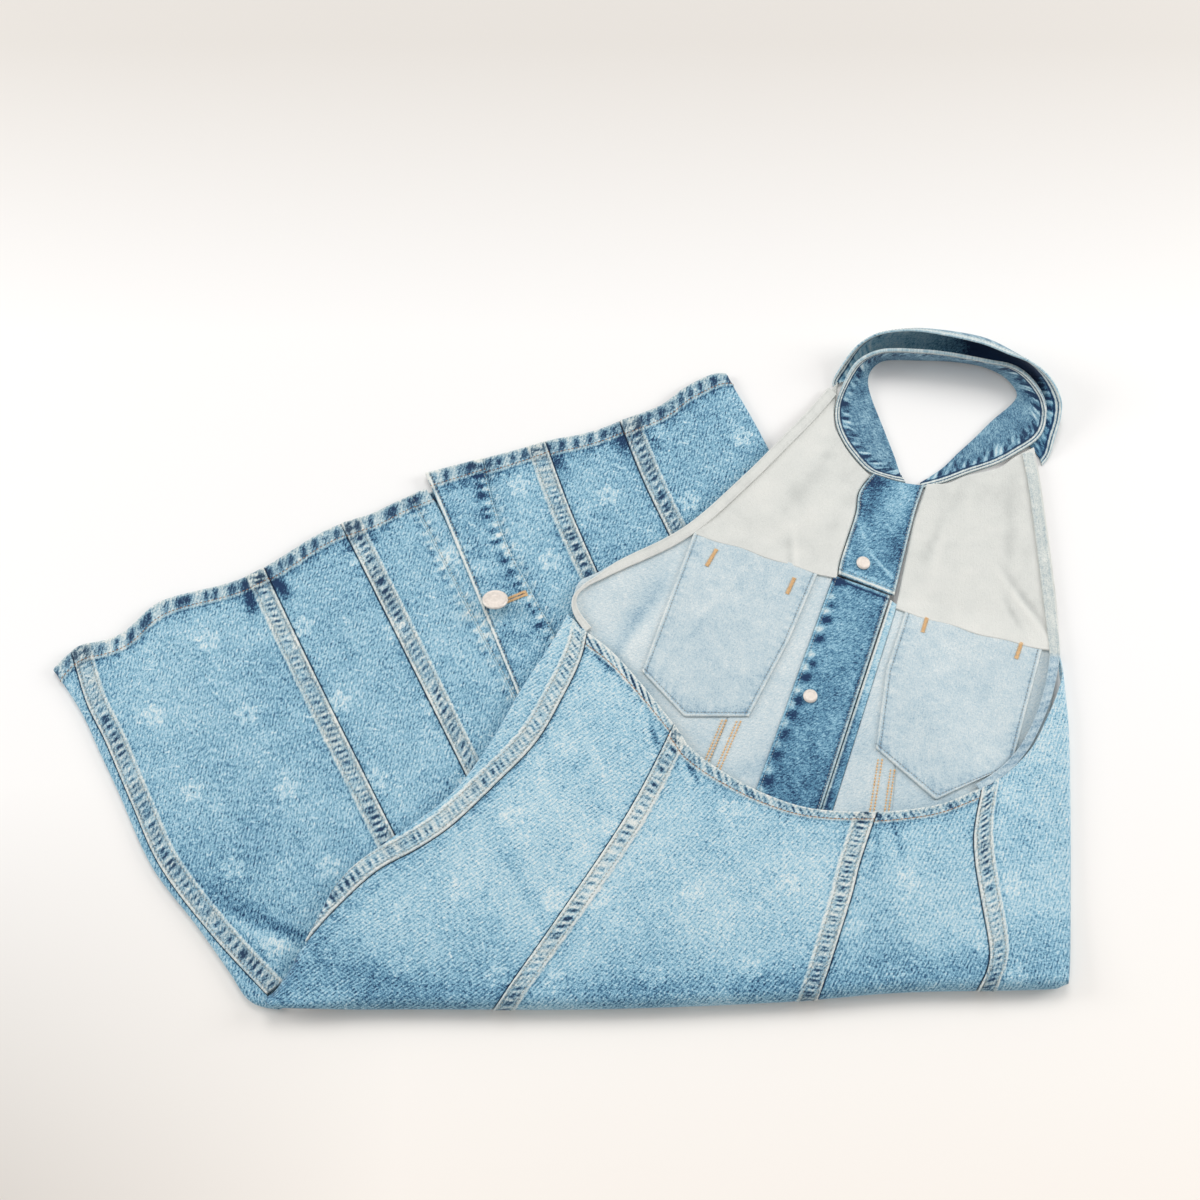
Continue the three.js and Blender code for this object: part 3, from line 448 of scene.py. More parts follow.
def bodice_height(x: Array, y: Array) -> Array:
    """Inside of the bodice front."""
    return bodice_base(x, y) + folds(BODICE_FOLDS, x, y)


def back_height(x: Array, y: Array) -> Array:
    """Top of the back of the upper half."""
    loft = FOLD_LOFT * (np.maximum(0, -y) / 240) ** 2
    return bodice_height(x, y) + BACK_OVER_FRONT + loft + folds(BACK_FOLDS, x, y)


def under_back(x: Array, y: Array) -> Array:
    """What the upper half's edge rests on."""
    w = np.maximum(1 - ramp(x, -190, -140), ramp(y, -235, -205)) * ramp(-x, -200, 0)
    return TABLE_GAP * (1 - w) + (skirt_height(x, y) + ON_SKIRT) * w


@dataclass(frozen=True)
class Sheet:
    """A height over the table with rolled edges."""

    height: PlaceRule
    rest: PlaceRule = none
    edges: tuple[Outline, ...] = ()

    def roll(self, foot: Array) -> Array:
        """Radius of the roll at feet on the edge."""
        return (self.height(foot[:, 0], foot[:, 1]) - self.rest(foot[:, 0], foot[:, 1])) / 2

    def near(self, x: Array, y: Array) -> tuple[Near, Outline]:
        """The nearest of the sheet's edges for each place, and that of the first place."""
        found = [edge.nearest(x, y) for edge in self.edges]
        pick = np.argmin(np.abs(np.stack([f.distance for f in found])), axis=0)
        parts = zip(*((f.foot, f.inward, f.station, f.distance) for f in found))
        take = [np.choose(pick if v[0].ndim == 1 else pick[:, None], v) for v in parts]
        return Near(*take), self.edges[int(pick[0])]

    def lay(self, plan: Array, lift: Array | float) -> Array:
        """Points of the sheet over plan places.

        Args:
            plan: Plan places in mm, of any shape by 2.
            lift: Height over the sheet, along the cloth's normal.

        Returns:
            Points, of the same shape by 3.
        """
        shape = plan.shape[:-1]
        x, y = plan[..., 0].ravel(), plan[..., 1].ravel()
        lift = np.broadcast_to(lift, shape).ravel()
        out = np.stack([x, y, self.height(x, y) + lift], -1)
        if self.edges:
            near, _ = self.near(x, y)
            close = np.flatnonzero(near.distance < WIDEST_ROLL)
            foot, inward, distance = near.foot[close], near.inward[close], near.distance[close]
            roll = self.roll(foot)
            rolled = distance < roll
            close, foot, inward = close[rolled], foot[rolled], inward[rolled]
            roll, distance = roll[rolled], distance[rolled]
            angle = np.minimum((roll - distance) / roll, ROLL_TURN)
            centre = foot + inward * roll[:, None]
            up = (1 + np.cos(angle)) / 2
            above = lift[close]
            radius = roll + np.where(above > 0, above * up, above)
            slope = self.height(centre[:, 0], centre[:, 1]) - self.height(foot[:, 0], foot[:, 1])
            out[close, :2] = centre - inward * (radius * np.sin(angle))[:, None]
            rest = self.rest(foot[:, 0], foot[:, 1])
            out[close, 2] = rest + roll + radius * np.cos(angle) + slope * up
        return out.reshape(*shape, 3)

    def past(self, place: Sequence[float]) -> Array:
        """The plan place just past an edge whose cloth has turned right under."""
        return self.past_between(place, place).at(np.array([0.0]))[0]

    def past_between(self, a: Sequence[float], b: Sequence[float]) -> Line:
        """The line past an edge whose cloth has turned right under.

        Args:
            a: Place on the edge where it starts.
            b: Place on the edge where it ends.

        Returns:
            The line.
        """
        near, edge = self.near(np.array([a[0]], float), np.array([a[1]], float))
        start = near.station[0]
        end = edge.nearest(np.array([b[0]], float), np.array([b[1]], float)).station[0]

        def at(t: Array) -> Array:
            """Places at shares t."""
            t = np.asarray(t, float)
            foot, inward = edge.on(start + (end - start) * t.ravel())
            out = foot - inward * (self.roll(foot) * (ROLL_TURN - 1))[:, None]
            return out.reshape(*t.shape, 2)

        return Line(at, abs(float(end - start)))


SKIRT = Sheet(skirt_height, lambda x, y: np.full_like(x, TABLE_GAP), (SKIRT_LEFT, SKIRT_RIGHT))
BODICE = Sheet(bodice_height)
BACK = Sheet(back_height, under_back, (UPPER_EDGE,))


# --- sewn edges


class Side(Enum):
    """A side of a four-sided panel."""

    LEFT = "left"
    RIGHT = "right"
    TOP = "top"
    BOTTOM = "bottom"


PLAIN_STEPS = np.array([0, 0.35, 0.8, 1.4, 2.2, 3.3, 4.7])
BAND_STEPS = np.array([0, 0.35, 0.8, 1.4, 2.1, 3, 4.1, 5.3, 6.5, 7.7, 8.9, 10.1, 11.2, 12.2, 13.1,
                       13.9, 14.6, 15.2, 15.8, 16.6, 17.8, 19.3])


@dataclass(frozen=True)
class Trim:
    """What is sewn along one side of a panel: a plain soft edge."""

    steps: Array = field(default_factory=lambda: PLAIN_STEPS)

    def relief(self, d: Array, s: Array, seed: float) -> Relief:
        """What the edge does to the cloth beside it.

        Args:
            d: Distance from the side, mm.
            s: Distance along the side, mm.
            seed: Picks the jitter.

        Returns:
            Lift in mm, change of tone and bareness.
        """
        return np.zeros_like(d), np.zeros_like(d), np.zeros_like(d)


@dataclass(frozen=True)
class Tape(Trim):
    """A felled seam: a raised strip with a worn ridge and puckers between two rows."""

    steps: Array = field(default_factory=lambda: BAND_STEPS)
    width: float = TAPE
    rise: float = TAPE_RISE
    wear: float = 1.0

    def relief(self, d: Array, s: Array, seed: float) -> Relief:
        """Lift, tone and bareness of the strip."""
        on = 1 - ramp(d, self.width - 0.4, self.width + 1.0)
        vary = 0.62 + 0.38 * mottle(s, s * 0, 34, seed + 9)
        patchy = 0.7 + 0.3 * mottle(s, d * 0.5, 5, seed + 12)
        rung = pulses(s + 0.25 * d, 5.2, 1.3, seed)
        white = pulses(s + 0.25 * d + 2.6, 5.2, 1.2, seed)
        late = pulses(s - 0.2 * d + 3, 6.3, 1.5, seed + 4)
        middle = bump(d, self.width * 0.5, self.width * 0.22)
        lift = self.rise * on + 0.35 * bump(d, 1.1, 0.9) + 0.15 * bump(d, self.width - 1.2, 1.0)
        lift -= 0.35 * rung * middle + 0.15 * on * bump(d, self.width * 0.5, 2)
        tone = 0.14 * on - self.wear * vary * 2.9 * rung * middle + 0.6 * white * middle
        tone += 0.8 * patchy * bump(d, 0.8, 0.85) + 0.6 * patchy * bump(d, self.width - 0.6, 1.2)
        tone -= 0.28 * patchy * bump(d, 2.7, 0.7)
        tone -= self.wear * vary * (0.5 * late * bump(d, self.width - 3.6, 1.5)
                                    + 0.35 * late * bump(d, self.width + 3, 2.4))
        tone -= 0.22 * bump(d, self.width + 1.3, 0.8)
        return lift, tone, 0.95 * on * patchy * (1 - 0.6 * rung * middle) + 0.4 * bump(d, 0.8, 1.0)


@dataclass(frozen=True)
class Groove(Trim):
    """The side of a seam that goes under its neighbour's ridge."""

    depth: float = 1.0

    def relief(self, d: Array, s: Array, seed: float) -> Relief:
        """Lift, tone and bareness beside the ridge."""
        blot = pulses(s, 9, 3.2, seed)
        # Painted shadow: a dark line under the neighbour's ridge; the blots beside it are wear.
        tone = -1.5 * self.depth * bump(d, 0, 0.75) - 0.3 * self.depth * blot * bump(d, 3, 3)
        return -0.5 * bump(d, 0, 1.0), tone, np.zeros_like(d)


@dataclass(frozen=True)
class Puckered(Trim):
    """A flat seam whose stitch row draws dark blots and pale ticks beside it."""

    pitch: float = 9.0
    reach: float = 5.0
    depth: float = 0.8
    row: float = 1.6
    pale: float = 0.35

    def relief(self, d: Array, s: Array, seed: float) -> Relief:
        """Lift, tone and bareness beside the row."""
        blot = pulses(s + 0.3 * d, self.pitch, self.pitch * 0.26, seed)
        tick = pulses(s + 0.3 * d + 0.5 * self.pitch, self.pitch, self.pitch * 0.2, seed)
        tone = -self.depth * blot * bump(d, self.reach, self.reach * 0.55)
        beside = tick * bump(d, self.row + 2.2, 2.8)
        tone += 1.1 * self.depth * beside + self.pale * bump(d, 0.7, 0.9) - 0.25 * bump(d, self.row, 0.6)
        lift = -0.25 * blot * bump(d, self.reach, 3) - 0.15 * bump(d, self.row, 0.8)
        return lift, tone, 0.5 * beside


@dataclass(frozen=True)
class Hem(Trim):
    """A turned hem, worn pale at the edge, with slanting ropes of wear in it."""

    steps: Array = field(default_factory=lambda: BAND_STEPS)
    width: float = HEM
    rise: float = TAPE_RISE
    pitch: float = 10.6
    slant: float = 0.35
    blot_at: float = 0.5
    blot_width: float = 0.44
    blob: float = 0.29
    fine: float = 0.4
    rope: Callable[[Array], Array] = lambda s: np.ones_like(s)

    def relief(self, d: Array, s: Array, seed: float) -> Relief:
        """Lift, tone and bareness of the hem."""
        w = self.width
        on = 1 - ramp(d, w - 0.4, w + 0.9)
        rope = self.rope(s)
        blob = pulses(s + self.slant * d, self.pitch, self.pitch * self.blob, seed)
        fine = pulses(s + self.slant * d, self.pitch * 0.45, self.pitch * 0.12, seed + 6)
        middle = bump(d, w * self.blot_at, w * self.blot_width)
        body = bump(d, w * 0.45, w * 0.36)
        lift = self.rise * on + 0.3 * bump(d, 1.5, 1.3) - 0.5 * blob * middle * rope
        tone = (0.3 + 0.4 * np.maximum(rope - 0.9, 0)) * on
        tone = tone - rope * (1.6 * blob * middle + self.fine * fine * body)
        tone += 0.3 * bump(d, 0.6, 1.3) + 0.25 * bump(d, w - 0.6, 0.7) - 0.35 * bump(d, w - 1.7, 0.6)
        under = pulses(s + 2, 8.1, 2.6, seed + 3)
        tone -= 0.35 * bump(d, w + 1.3, 0.9) + 0.45 * under * bump(d, w + 4, 3.2)
        return lift, tone, 0.6 * on * (1 - 0.7 * blob * middle) + 0.3 * bump(d, 0.6, 1.6)


@dataclass(frozen=True)
class Piped(Trim):
    """A pressed edge with a pale cord line and a row just inside it."""

    cord: float = 0.9
    row: float = 4.0
    pale: float = 0.8
    dark: float = 0.5
    thick: float = 0.25

    def relief(self, d: Array, s: Array, seed: float) -> Relief:
        """Lift, tone and bareness of the edge."""
        pucker = pulses(s, 4.6, 1.3, seed)
        lift = self.thick * bump(d, self.cord, 1.0) - 0.12 * bump(d, self.row, 0.9)
        tone = self.pale * bump(d, self.cord, 1.2) - self.dark * bump(d, (self.cord + self.row) / 2, 0.9)
        tone -= 0.5 * self.dark * pucker * bump(d, self.row, 1.7)
        return lift, tone, np.clip(1.1 * self.pale, 0, 1) * bump(d, self.cord, 1.3)


@dataclass(frozen=True)
class Corded(Trim):
    """A topstitched edge: two worn cords with thin dark lines beside them, and puckers within."""

    pitch: float = 8.5
    depth: float = 1.15

    def relief(self, d: Array, s: Array, seed: float) -> Relief:
        """Lift, tone and bareness of the edge."""
        cords = bump(d, 0.9, 0.85) + bump(d, 3.1, 0.85)
        dark = pulses(s + 0.4 * d, self.pitch, 2.2, seed + 5)
        pale = pulses(s + 0.9 * d + 0.45 * self.pitch, self.pitch, 1.7, seed + 5)
        tone = 1.5 * cords - 1.4 * bump(d, 2.0, 0.4) - 1.5 * bump(d, 4.6, 0.55)
        tone += self.depth * (1.3 * pale - 1.1 * dark) * bump(d, 8.5, 4.4)
        return 0.35 * cords - 0.35 * dark * bump(d, 8.0, 4.0), tone, np.clip(cords, 0, 1)


@dataclass(frozen=True)
class Lapped(Trim):
    """A free edge that lies over its neighbour, rising a little and waving."""

    rise: float = 1.5

    def relief(self, d: Array, s: Array, seed: float) -> Relief:
        """Lift, tone and bareness of the edge."""
        wave = mottle(s, s * 0, 17, seed)
        lift = (self.rise + 0.35 * wave) * (1 - ramp(d, 0, 20))
        # Painted light on the lifted edge: lighter where the wave lifts it, with a painted highlight along
        # the edge.
        return lift, 0.12 * wave * bump(d, 3, 6) + 0.1 * bump(d, 0.7, 1.0), np.zeros_like(d)


@dataclass(frozen=True)
class BagEdge(Trim):
    """A turned pocket edge: a pale cord, a row of stitches and soft puckers."""

    row: float = BAG_ROW

    def relief(self, d: Array, s: Array, seed: float) -> Relief:
        """Lift, tone and bareness of the edge."""
        slant = s + 0.3 * d
        pucker = pulses(slant, 7.5, 2.0, seed) - pulses(slant + 3.6, 7.5, 1.9, seed + 2)
        lift = 0.2 * bump(d, 1.0, 0.9) - 0.12 * bump(d, self.row, 0.8) - 0.12 * pucker * bump(d, 6, 4)
        tone = 0.35 * bump(d, 0.9, 0.8) - 0.4 * bump(d, self.row, 0.8) - 0.25 * pucker * bump(d, 6.5, 4)
        return lift, tone - 0.12 * bump(d, 5, 4), 0.4 * bump(d, 0.9, 1.0)


@dataclass(frozen=True)
class Mark:
    """A soft streak of wear, shade or pucker in plan."""

    x: float
    y: float
    angle: float
    length: float
    width: float
    tone: float = 0.0
    lift: float = 0.0

    def over(self, x: Array, y: Array) -> Array:
        """Its strength from 0 to 1 at plan places."""
        turn = math.radians(self.angle)
        dx, dy = x - self.x, y - self.y
        along = dx * math.cos(turn) + dy * math.sin(turn)
        across = dy * math.cos(turn) - dx * math.sin(turn)
        return np.exp(-((along / self.length) ** 2) - (across / self.width) ** 2)


# --- cloth pieces


def placed(name: str, data: bpy.types.ID) -> bpy.types.Object:
    """A new object in the scene, at the origin."""
    obj = bpy.data.objects.new(name, data)
    bpy.context.scene.collection.objects.link(obj)
    return obj


def grid_mesh(name: str, outer: Array, inner: Array, data: dict[str, Array], cut: Array) -> bpy.types.Object:
    """A closed wall between two equal grids, as an object at the origin.

    Args:
        name: Object name.
        outer: Points of the face side, rows by columns by 3, plan mm.
        inner: Points of the other side.
        data: Point attributes by name, for each face-side point, or for both sides.
        cut: Places in the flat cloth, metres, rows by columns by 2.

    Returns:
        The object.
    """
    rows, columns = outer.shape[:2]
    layer = rows * columns
    places = (np.concatenate([outer.reshape(-1, 3), inner.reshape(-1, 3)]) - ORIGIN) * MM
    at = np.arange(layer).reshape(rows, columns)
    a, b, c, d = at[:-1, :-1], at[1:, :-1], at[1:, 1:], at[:-1, 1:]
    top = np.stack([a, b, c, d], -1).reshape(-1, 4)
    rim = np.concatenate([at[0, :-1], at[:-1, -1], at[-1, :0:-1], at[:0:-1, 0]])
    after = np.roll(rim, -1)
    quads = np.concatenate([
        top, layer + top[:, ::-1], np.stack([rim, after, layer + after, layer + rim], -1),
    ])
    tri = places[quads]
    volume = np.sum(tri[:, 0] * (np.cross(tri[:, 1], tri[:, 2]) + np.cross(tri[:, 2], tri[:, 3])))
    if volume < 0:
        quads = quads[:, ::-1]
    mesh = bpy.data.meshes.new(name)
    mesh.vertices.add(len(places))
    mesh.vertices.foreach_set("co", places.astype(np.float32).ravel())
    mesh.loops.add(quads.size)
    mesh.loops.foreach_set("vertex_index", quads.astype(np.int32).ravel())
    mesh.polygons.add(len(quads))
    mesh.polygons.foreach_set("loop_start", np.arange(0, quads.size, 4, dtype=np.int32))
    for key, values in data.items():
        store = mesh.attributes.new(key, "FLOAT", "POINT")
        both = values if values.ndim == 3 else np.stack([values, values])
        store.data.foreach_set("value", both.ravel().astype(np.float32))
    flat = np.tile(cut.reshape(-1, 2), (2, 1))
    mesh.uv_layers.new(name="Cut").data.foreach_set("uv", flat[quads.ravel()].astype(np.float32).ravel())
    mesh.update(calc_edges=True)
    mesh.shade_smooth()
    return placed(name, mesh)


@dataclass
class Row:
    """A line on the cloth for stitches: points and the cloth's normals."""

    points: Array
    up: Array


@dataclass
class Panel:
    """A four-sided piece of cloth over a sheet, with what is sewn along its sides."""

    name: str
    sheet: Sheet
    left: Line
    right: Line
    top: Line | None = None
    bottom: Line | None = None
    lift: float = 0.0
    wall: float = CLOTH
    trims: dict[Side, Trim] = field(default_factory=dict)
    wraps: frozenset[Side] = frozenset()
    marks: Sequence[Mark] = ()
    shade: PlaceRule = none
    worn: PlaceRule = none
    cell: float = 1.8
    seed: float = 0.0
    outer: Array = field(init=False)
    inner: Array = field(init=False)
    mm: dict[Side, Array] = field(init=False)

    def _steps(self, side: Side, roll: Array | float) -> Array:
        """Distances of the close stations from one side, rows by stations."""
        roll = np.atleast_1d(np.asarray(roll, float))
        if side in self.wraps:
            return roll[:, None] * np.linspace(0, ROLL_TURN, ROLL_STEPS)
        return np.tile(self.trims.get(side, Trim()).steps, (len(roll), 1))

    def _roll(self, places: Array) -> Array:
        """Roll of the sheet's edge nearest to places."""
        near, _ = self.sheet.near(places[:, 0], places[:, 1])
        return self.sheet.roll(near.foot)

    def build(self) -> bpy.types.Object:
        """Lays the panel and returns its object."""
        left, right = self.left, self.right
        (tl, bl), (tr, br) = left.at(np.array([0.0, 1.0])), right.at(np.array([0.0, 1.0]))
        top, bottom = fitted(self.top, tl, tr), fitted(self.bottom, bl, br)
        length = (left.length + right.length) / 2
        end_roll = self._roll(np.stack([bl, br])).mean() if Side.BOTTOM in self.wraps else 0
        head = self._steps(Side.TOP, 0)[0] / length
        foot = 1 - self._steps(Side.BOTTOM, end_roll)[0][::-1] / length
        count = max(2, int((foot[0] - head[-1]) * length / (self.cell * ROW_SHARE)))
        r = np.concatenate([head, np.linspace(head[-1], foot[0], count + 1)[1:-1], foot])
        a, b = left.at(r), right.at(r)
        width = np.linalg.norm(b - a, axis=1)
        first, last = (
            self._steps(side, self._roll(line) if side in self.wraps else np.zeros(len(r)))
            for side, line in ((Side.LEFT, a), (Side.RIGHT, b)))
        share = np.minimum(1, MOST_TRIM * width / (first[:, -1] + last[:, -1]))[:, None]
        first, last = first * share / width[:, None], 1 - last[:, ::-1] * share / width[:, None]
        gap = last[:, :1] - first[:, -1:]
        count = max(2, int(np.max(gap[:, 0] * width) / self.cell))
        c = np.concatenate([first, first[:, -1:] + gap * np.linspace(0, 1, count + 1)[1:-1], last], axis=1)
        w, v = c[..., None], np.broadcast_to(r[:, None, None], (*c.shape, 1))
        plan = ((1 - w) * a[:, None] + w * b[:, None] + (1 - v) * top(c) + v * bottom(c)
                - ((1 - w) * (1 - v) * tl + w * (1 - v) * tr + (1 - w) * v * bl + w * v * br))
        self.mm = {
            Side.LEFT: c * width[:, None], Side.RIGHT: (1 - c) * width[:, None],
            Side.TOP: np.broadcast_to((r * length)[:, None], c.shape),
            Side.BOTTOM: np.broadcast_to(((1 - r) * length)[:, None], c.shape),
        }
        lift, tone, bare = self._dress(plan, r * length, c * width.mean())
        self.outer = self.sheet.lay(plan, lift)
        self.inner = self.sheet.lay(plan, np.minimum(self.lift - self.wall, lift - THINNEST))
        down = (bl + br - tl - tr) / 2
        turn = math.atan2(down[1], down[0]) + math.pi / 2
        spun = np.array([[math.cos(turn), -math.sin(turn)], [math.sin(turn), math.cos(turn)]])
        data = {"tone": tone, "bare": bare}
        return grid_mesh(self.name + "_cloth", self.outer, self.inner, data, (plan @ spun) * MM)

    def _dress(self, plan: Array, along: Array, across: Array) -> Relief:
        """What the shade, the trims and the marks do to the cloth.

        Args:
            plan: Plan places, rows by columns by 2.
            along: Distance down the panel, for each row.
            across: Distance across it, for each point.

        Returns:
            Lift, tone and bareness of every point.
        """
        x, y = plan[..., 0], plan[..., 1]
        lift, tone, bare = np.full(x.shape, self.lift), self.shade(x, y), self.worn(x, y)
        down = np.broadcast_to(along[:, None], x.shape)
        for i, side in enumerate(Side):
            trim = self.trims.get(side, Trim())
            s = down if side in (Side.LEFT, Side.RIGHT) else across
            if side not in self.wraps:
                more, shade, worn = trim.relief(self.mm[side], s, self.seed + 7.3 * i)
                lift, tone, bare = lift + more, tone + shade, bare + worn
                near = np.clip(1 - self.mm[side] / EDGE_ROUND, 0, 1)
                lift = lift - 0.55 * (1 - np.sqrt(1 - near**2))
        for mark in self.marks:
            strength = mark.over(x, y)
            lift, tone = lift + mark.lift * strength, tone + mark.tone * strength
        tone = tone + 0.1 * mottle(x, y, 23, self.seed + 1) + 0.08 * mottle(x, y, 7, self.seed + 2)
        return lift, np.clip(tone, -1.5, 1.3), np.clip(bare, 0, 1)

    def row(self, side: Side, offset: float, start: float = 2.0, end: float = 2.0) -> Row:
        """A line along a side for stitches.

        Args:
            side: Which side it follows.
            offset: Distance from that side.
            start: Length left free at the line's start.
            end: Length left free at its end.

        Returns:
            The line on the face side of the cloth.
        """
        grid, mm = self.outer, self.mm[side]
        normal = normals(grid)
        if side in (Side.TOP, Side.BOTTOM):
            grid, normal, mm = grid.swapaxes(0, 1), normal.swapaxes(0, 1), mm.T
        if side in (Side.RIGHT, Side.BOTTOM):
            grid, normal, mm = grid[:, ::-1], normal[:, ::-1], mm[:, ::-1]
        i = np.clip(np.array([np.searchsorted(m, offset) for m in mm]), 1, mm.shape[1] - 1)
        n = np.arange(len(mm))
        t = np.clip((offset - mm[n, i - 1]) / (mm[n, i] - mm[n, i - 1]), 0, 1)[:, None]
        points = grid[n, i - 1] * (1 - t) + grid[n, i] * t
        up = unit(normal[n, i - 1] * (1 - t) + normal[n, i] * t)
        return trimmed(Row(points, up), start, end)


def normals(grid: Array) -> Array:
    """Upward normals of a grid of points."""
    normal = unit(np.cross(np.gradient(grid, axis=0), np.gradient(grid, axis=1)))
    if normal[..., 2].mean() < 0:
        normal = -normal
    return normal


def trimmed(row: Row, start: float, end: float) -> Row:
    """A row without its first and last stretch."""
    s = travelled(row.points)
    keep = (s >= start) & (s <= s[-1] - end)
    return Row(row.points[keep], row.up[keep])


def over_sheet(sheet: Sheet, rows: Rows, lift: float) -> Row:
    """A row of stitches on a sheet.

    Args:
        sheet: The cloth it is sewn to.
        rows: Plan places it runs through.
        lift: Height over the sheet, mm.

    Returns:
        The row.
    """
    line = runs(rows)
    plan = line.at(np.linspace(0, 1, max(3, int(line.length / 1.5))))
    points = sheet.lay(plan, lift)
    dx, dy = (sheet.lay(plan + step, lift) - sheet.lay(plan - step, lift)
              for step in (np.array([0.5, 0.0]), np.array([0.0, 0.5])))
    return Row(points, unit(np.cross(dx, dy)))


# --- finishes

TWILL_BANDS = 118.0  # how often the twill runs over a metre of cloth


def linear(red: int, green: int, blue: int) -> tuple[float, float, float, float]:
    """A screen colour as scene-linear RGBA."""
    def channel(v: int) -> float:
        """One channel."""
        c = v / 255
        return c / 12.92 if c <= 0.04045 else ((c + 0.055) / 1.055) ** 2.4
    return (channel(red), channel(green), channel(blue), 1.0)


def evenly(colours: Sequence[Screen]) -> list[tuple[float, tuple]]:
    """Ramp stops at even places, from screen colours."""
    return [(i / (len(colours) - 1), linear(*rgb)) for i, rgb in enumerate(colours)]


def fill(node: bpy.types.Node, **values: object) -> None:
    """Sets plain inputs of a node by name."""
    for key, value in values.items():
        node.inputs[key.replace("_", " ")].default_value = value


class Nodes:
    """A small hand for wiring a material."""

    def __init__(self, name: str) -> None:
        """Starts a material with its shader and output."""
        self.material = bpy.data.materials.new(name)
        self.material.use_nodes = True
        self.tree = self.material.node_tree
        self.tree.nodes.clear()
        self.shader = self.add("ShaderNodeBsdfPrincipled")
        out = self.add("ShaderNodeOutputMaterial")
        self.link(self.shader.outputs[0], out.inputs["Surface"])

    def add(self, kind: str, **settings: object) -> bpy.types.Node:
        """Adds a node with its settings."""
        node = self.tree.nodes.new(kind)
        for key, value in settings.items():
            setattr(node, key, value)
        return node

    def link(self, a: Socket, b: Socket) -> None:
        """Joins two sockets."""
        self.tree.links.new(a, b)

    def feed(self, socket: Socket, value: object) -> None:
        """Sets a socket from another socket or a plain value."""
        if isinstance(value, Socket):
            self.link(value, socket)
        else:
            socket.default_value = value

    def math(self, operation: str, a: object, b: object = 0.0, c: object = 0.0) -> Socket:
        """A Math node's result."""
        node = self.add("ShaderNodeMath", operation=operation)
        for socket, value in zip(node.inputs, (a, b, c)):
            self.feed(socket, value)
        return node.outputs[0]

    def scaled(self, vector: Socket, turn: float, scale: tuple[float, float, float]) -> Socket:
        """Coordinates turned about Z, then scaled."""
        spin = self.add("ShaderNodeVectorRotate", rotation_type="Z_AXIS")
        self.feed(spin.inputs["Vector"], vector)
        spin.inputs["Angle"].default_value = math.radians(turn)
        node = self.add("ShaderNodeVectorMath", operation="MULTIPLY")
        self.link(spin.outputs[0], node.inputs[0])
        node.inputs[1].default_value = scale
        return node.outputs[0]

    def noise(self, vector: Socket, scale: float, detail: float = 2.0, rough: float = 0.5) -> Socket:
        """Noise from about -1 to 1."""
        node = self.add("ShaderNodeTexNoise", noise_dimensions="3D")
        self.link(vector, node.inputs["Vector"])
        fill(node, Scale=scale, Detail=detail, Roughness=rough)
        return self.math("MULTIPLY_ADD", node.outputs["Fac"], 4.0, -2.0)

    def ramp(self, value: Socket, stops: Sequence[tuple[float, tuple]]) -> Socket:
        """Colour by value."""
        node = self.add("ShaderNodeValToRGB")
        self.link(value, node.inputs[0])
        steps = node.color_ramp.elements
        while len(steps) < len(stops):
            steps.new(0.5)
        for step, (place, colour) in zip(steps, stops):
            step.position, step.color = place, colour
        return node.outputs["Color"]

    def bump(self, height: Socket, strength: float, distance: float) -> None:
        """Raises the surface by a height."""
        node = self.add("ShaderNodeBump")
        self.link(height, node.inputs["Height"])
        fill(node, Strength=strength, Distance=distance)
        self.link(node.outputs[0], self.shader.inputs["Normal"])


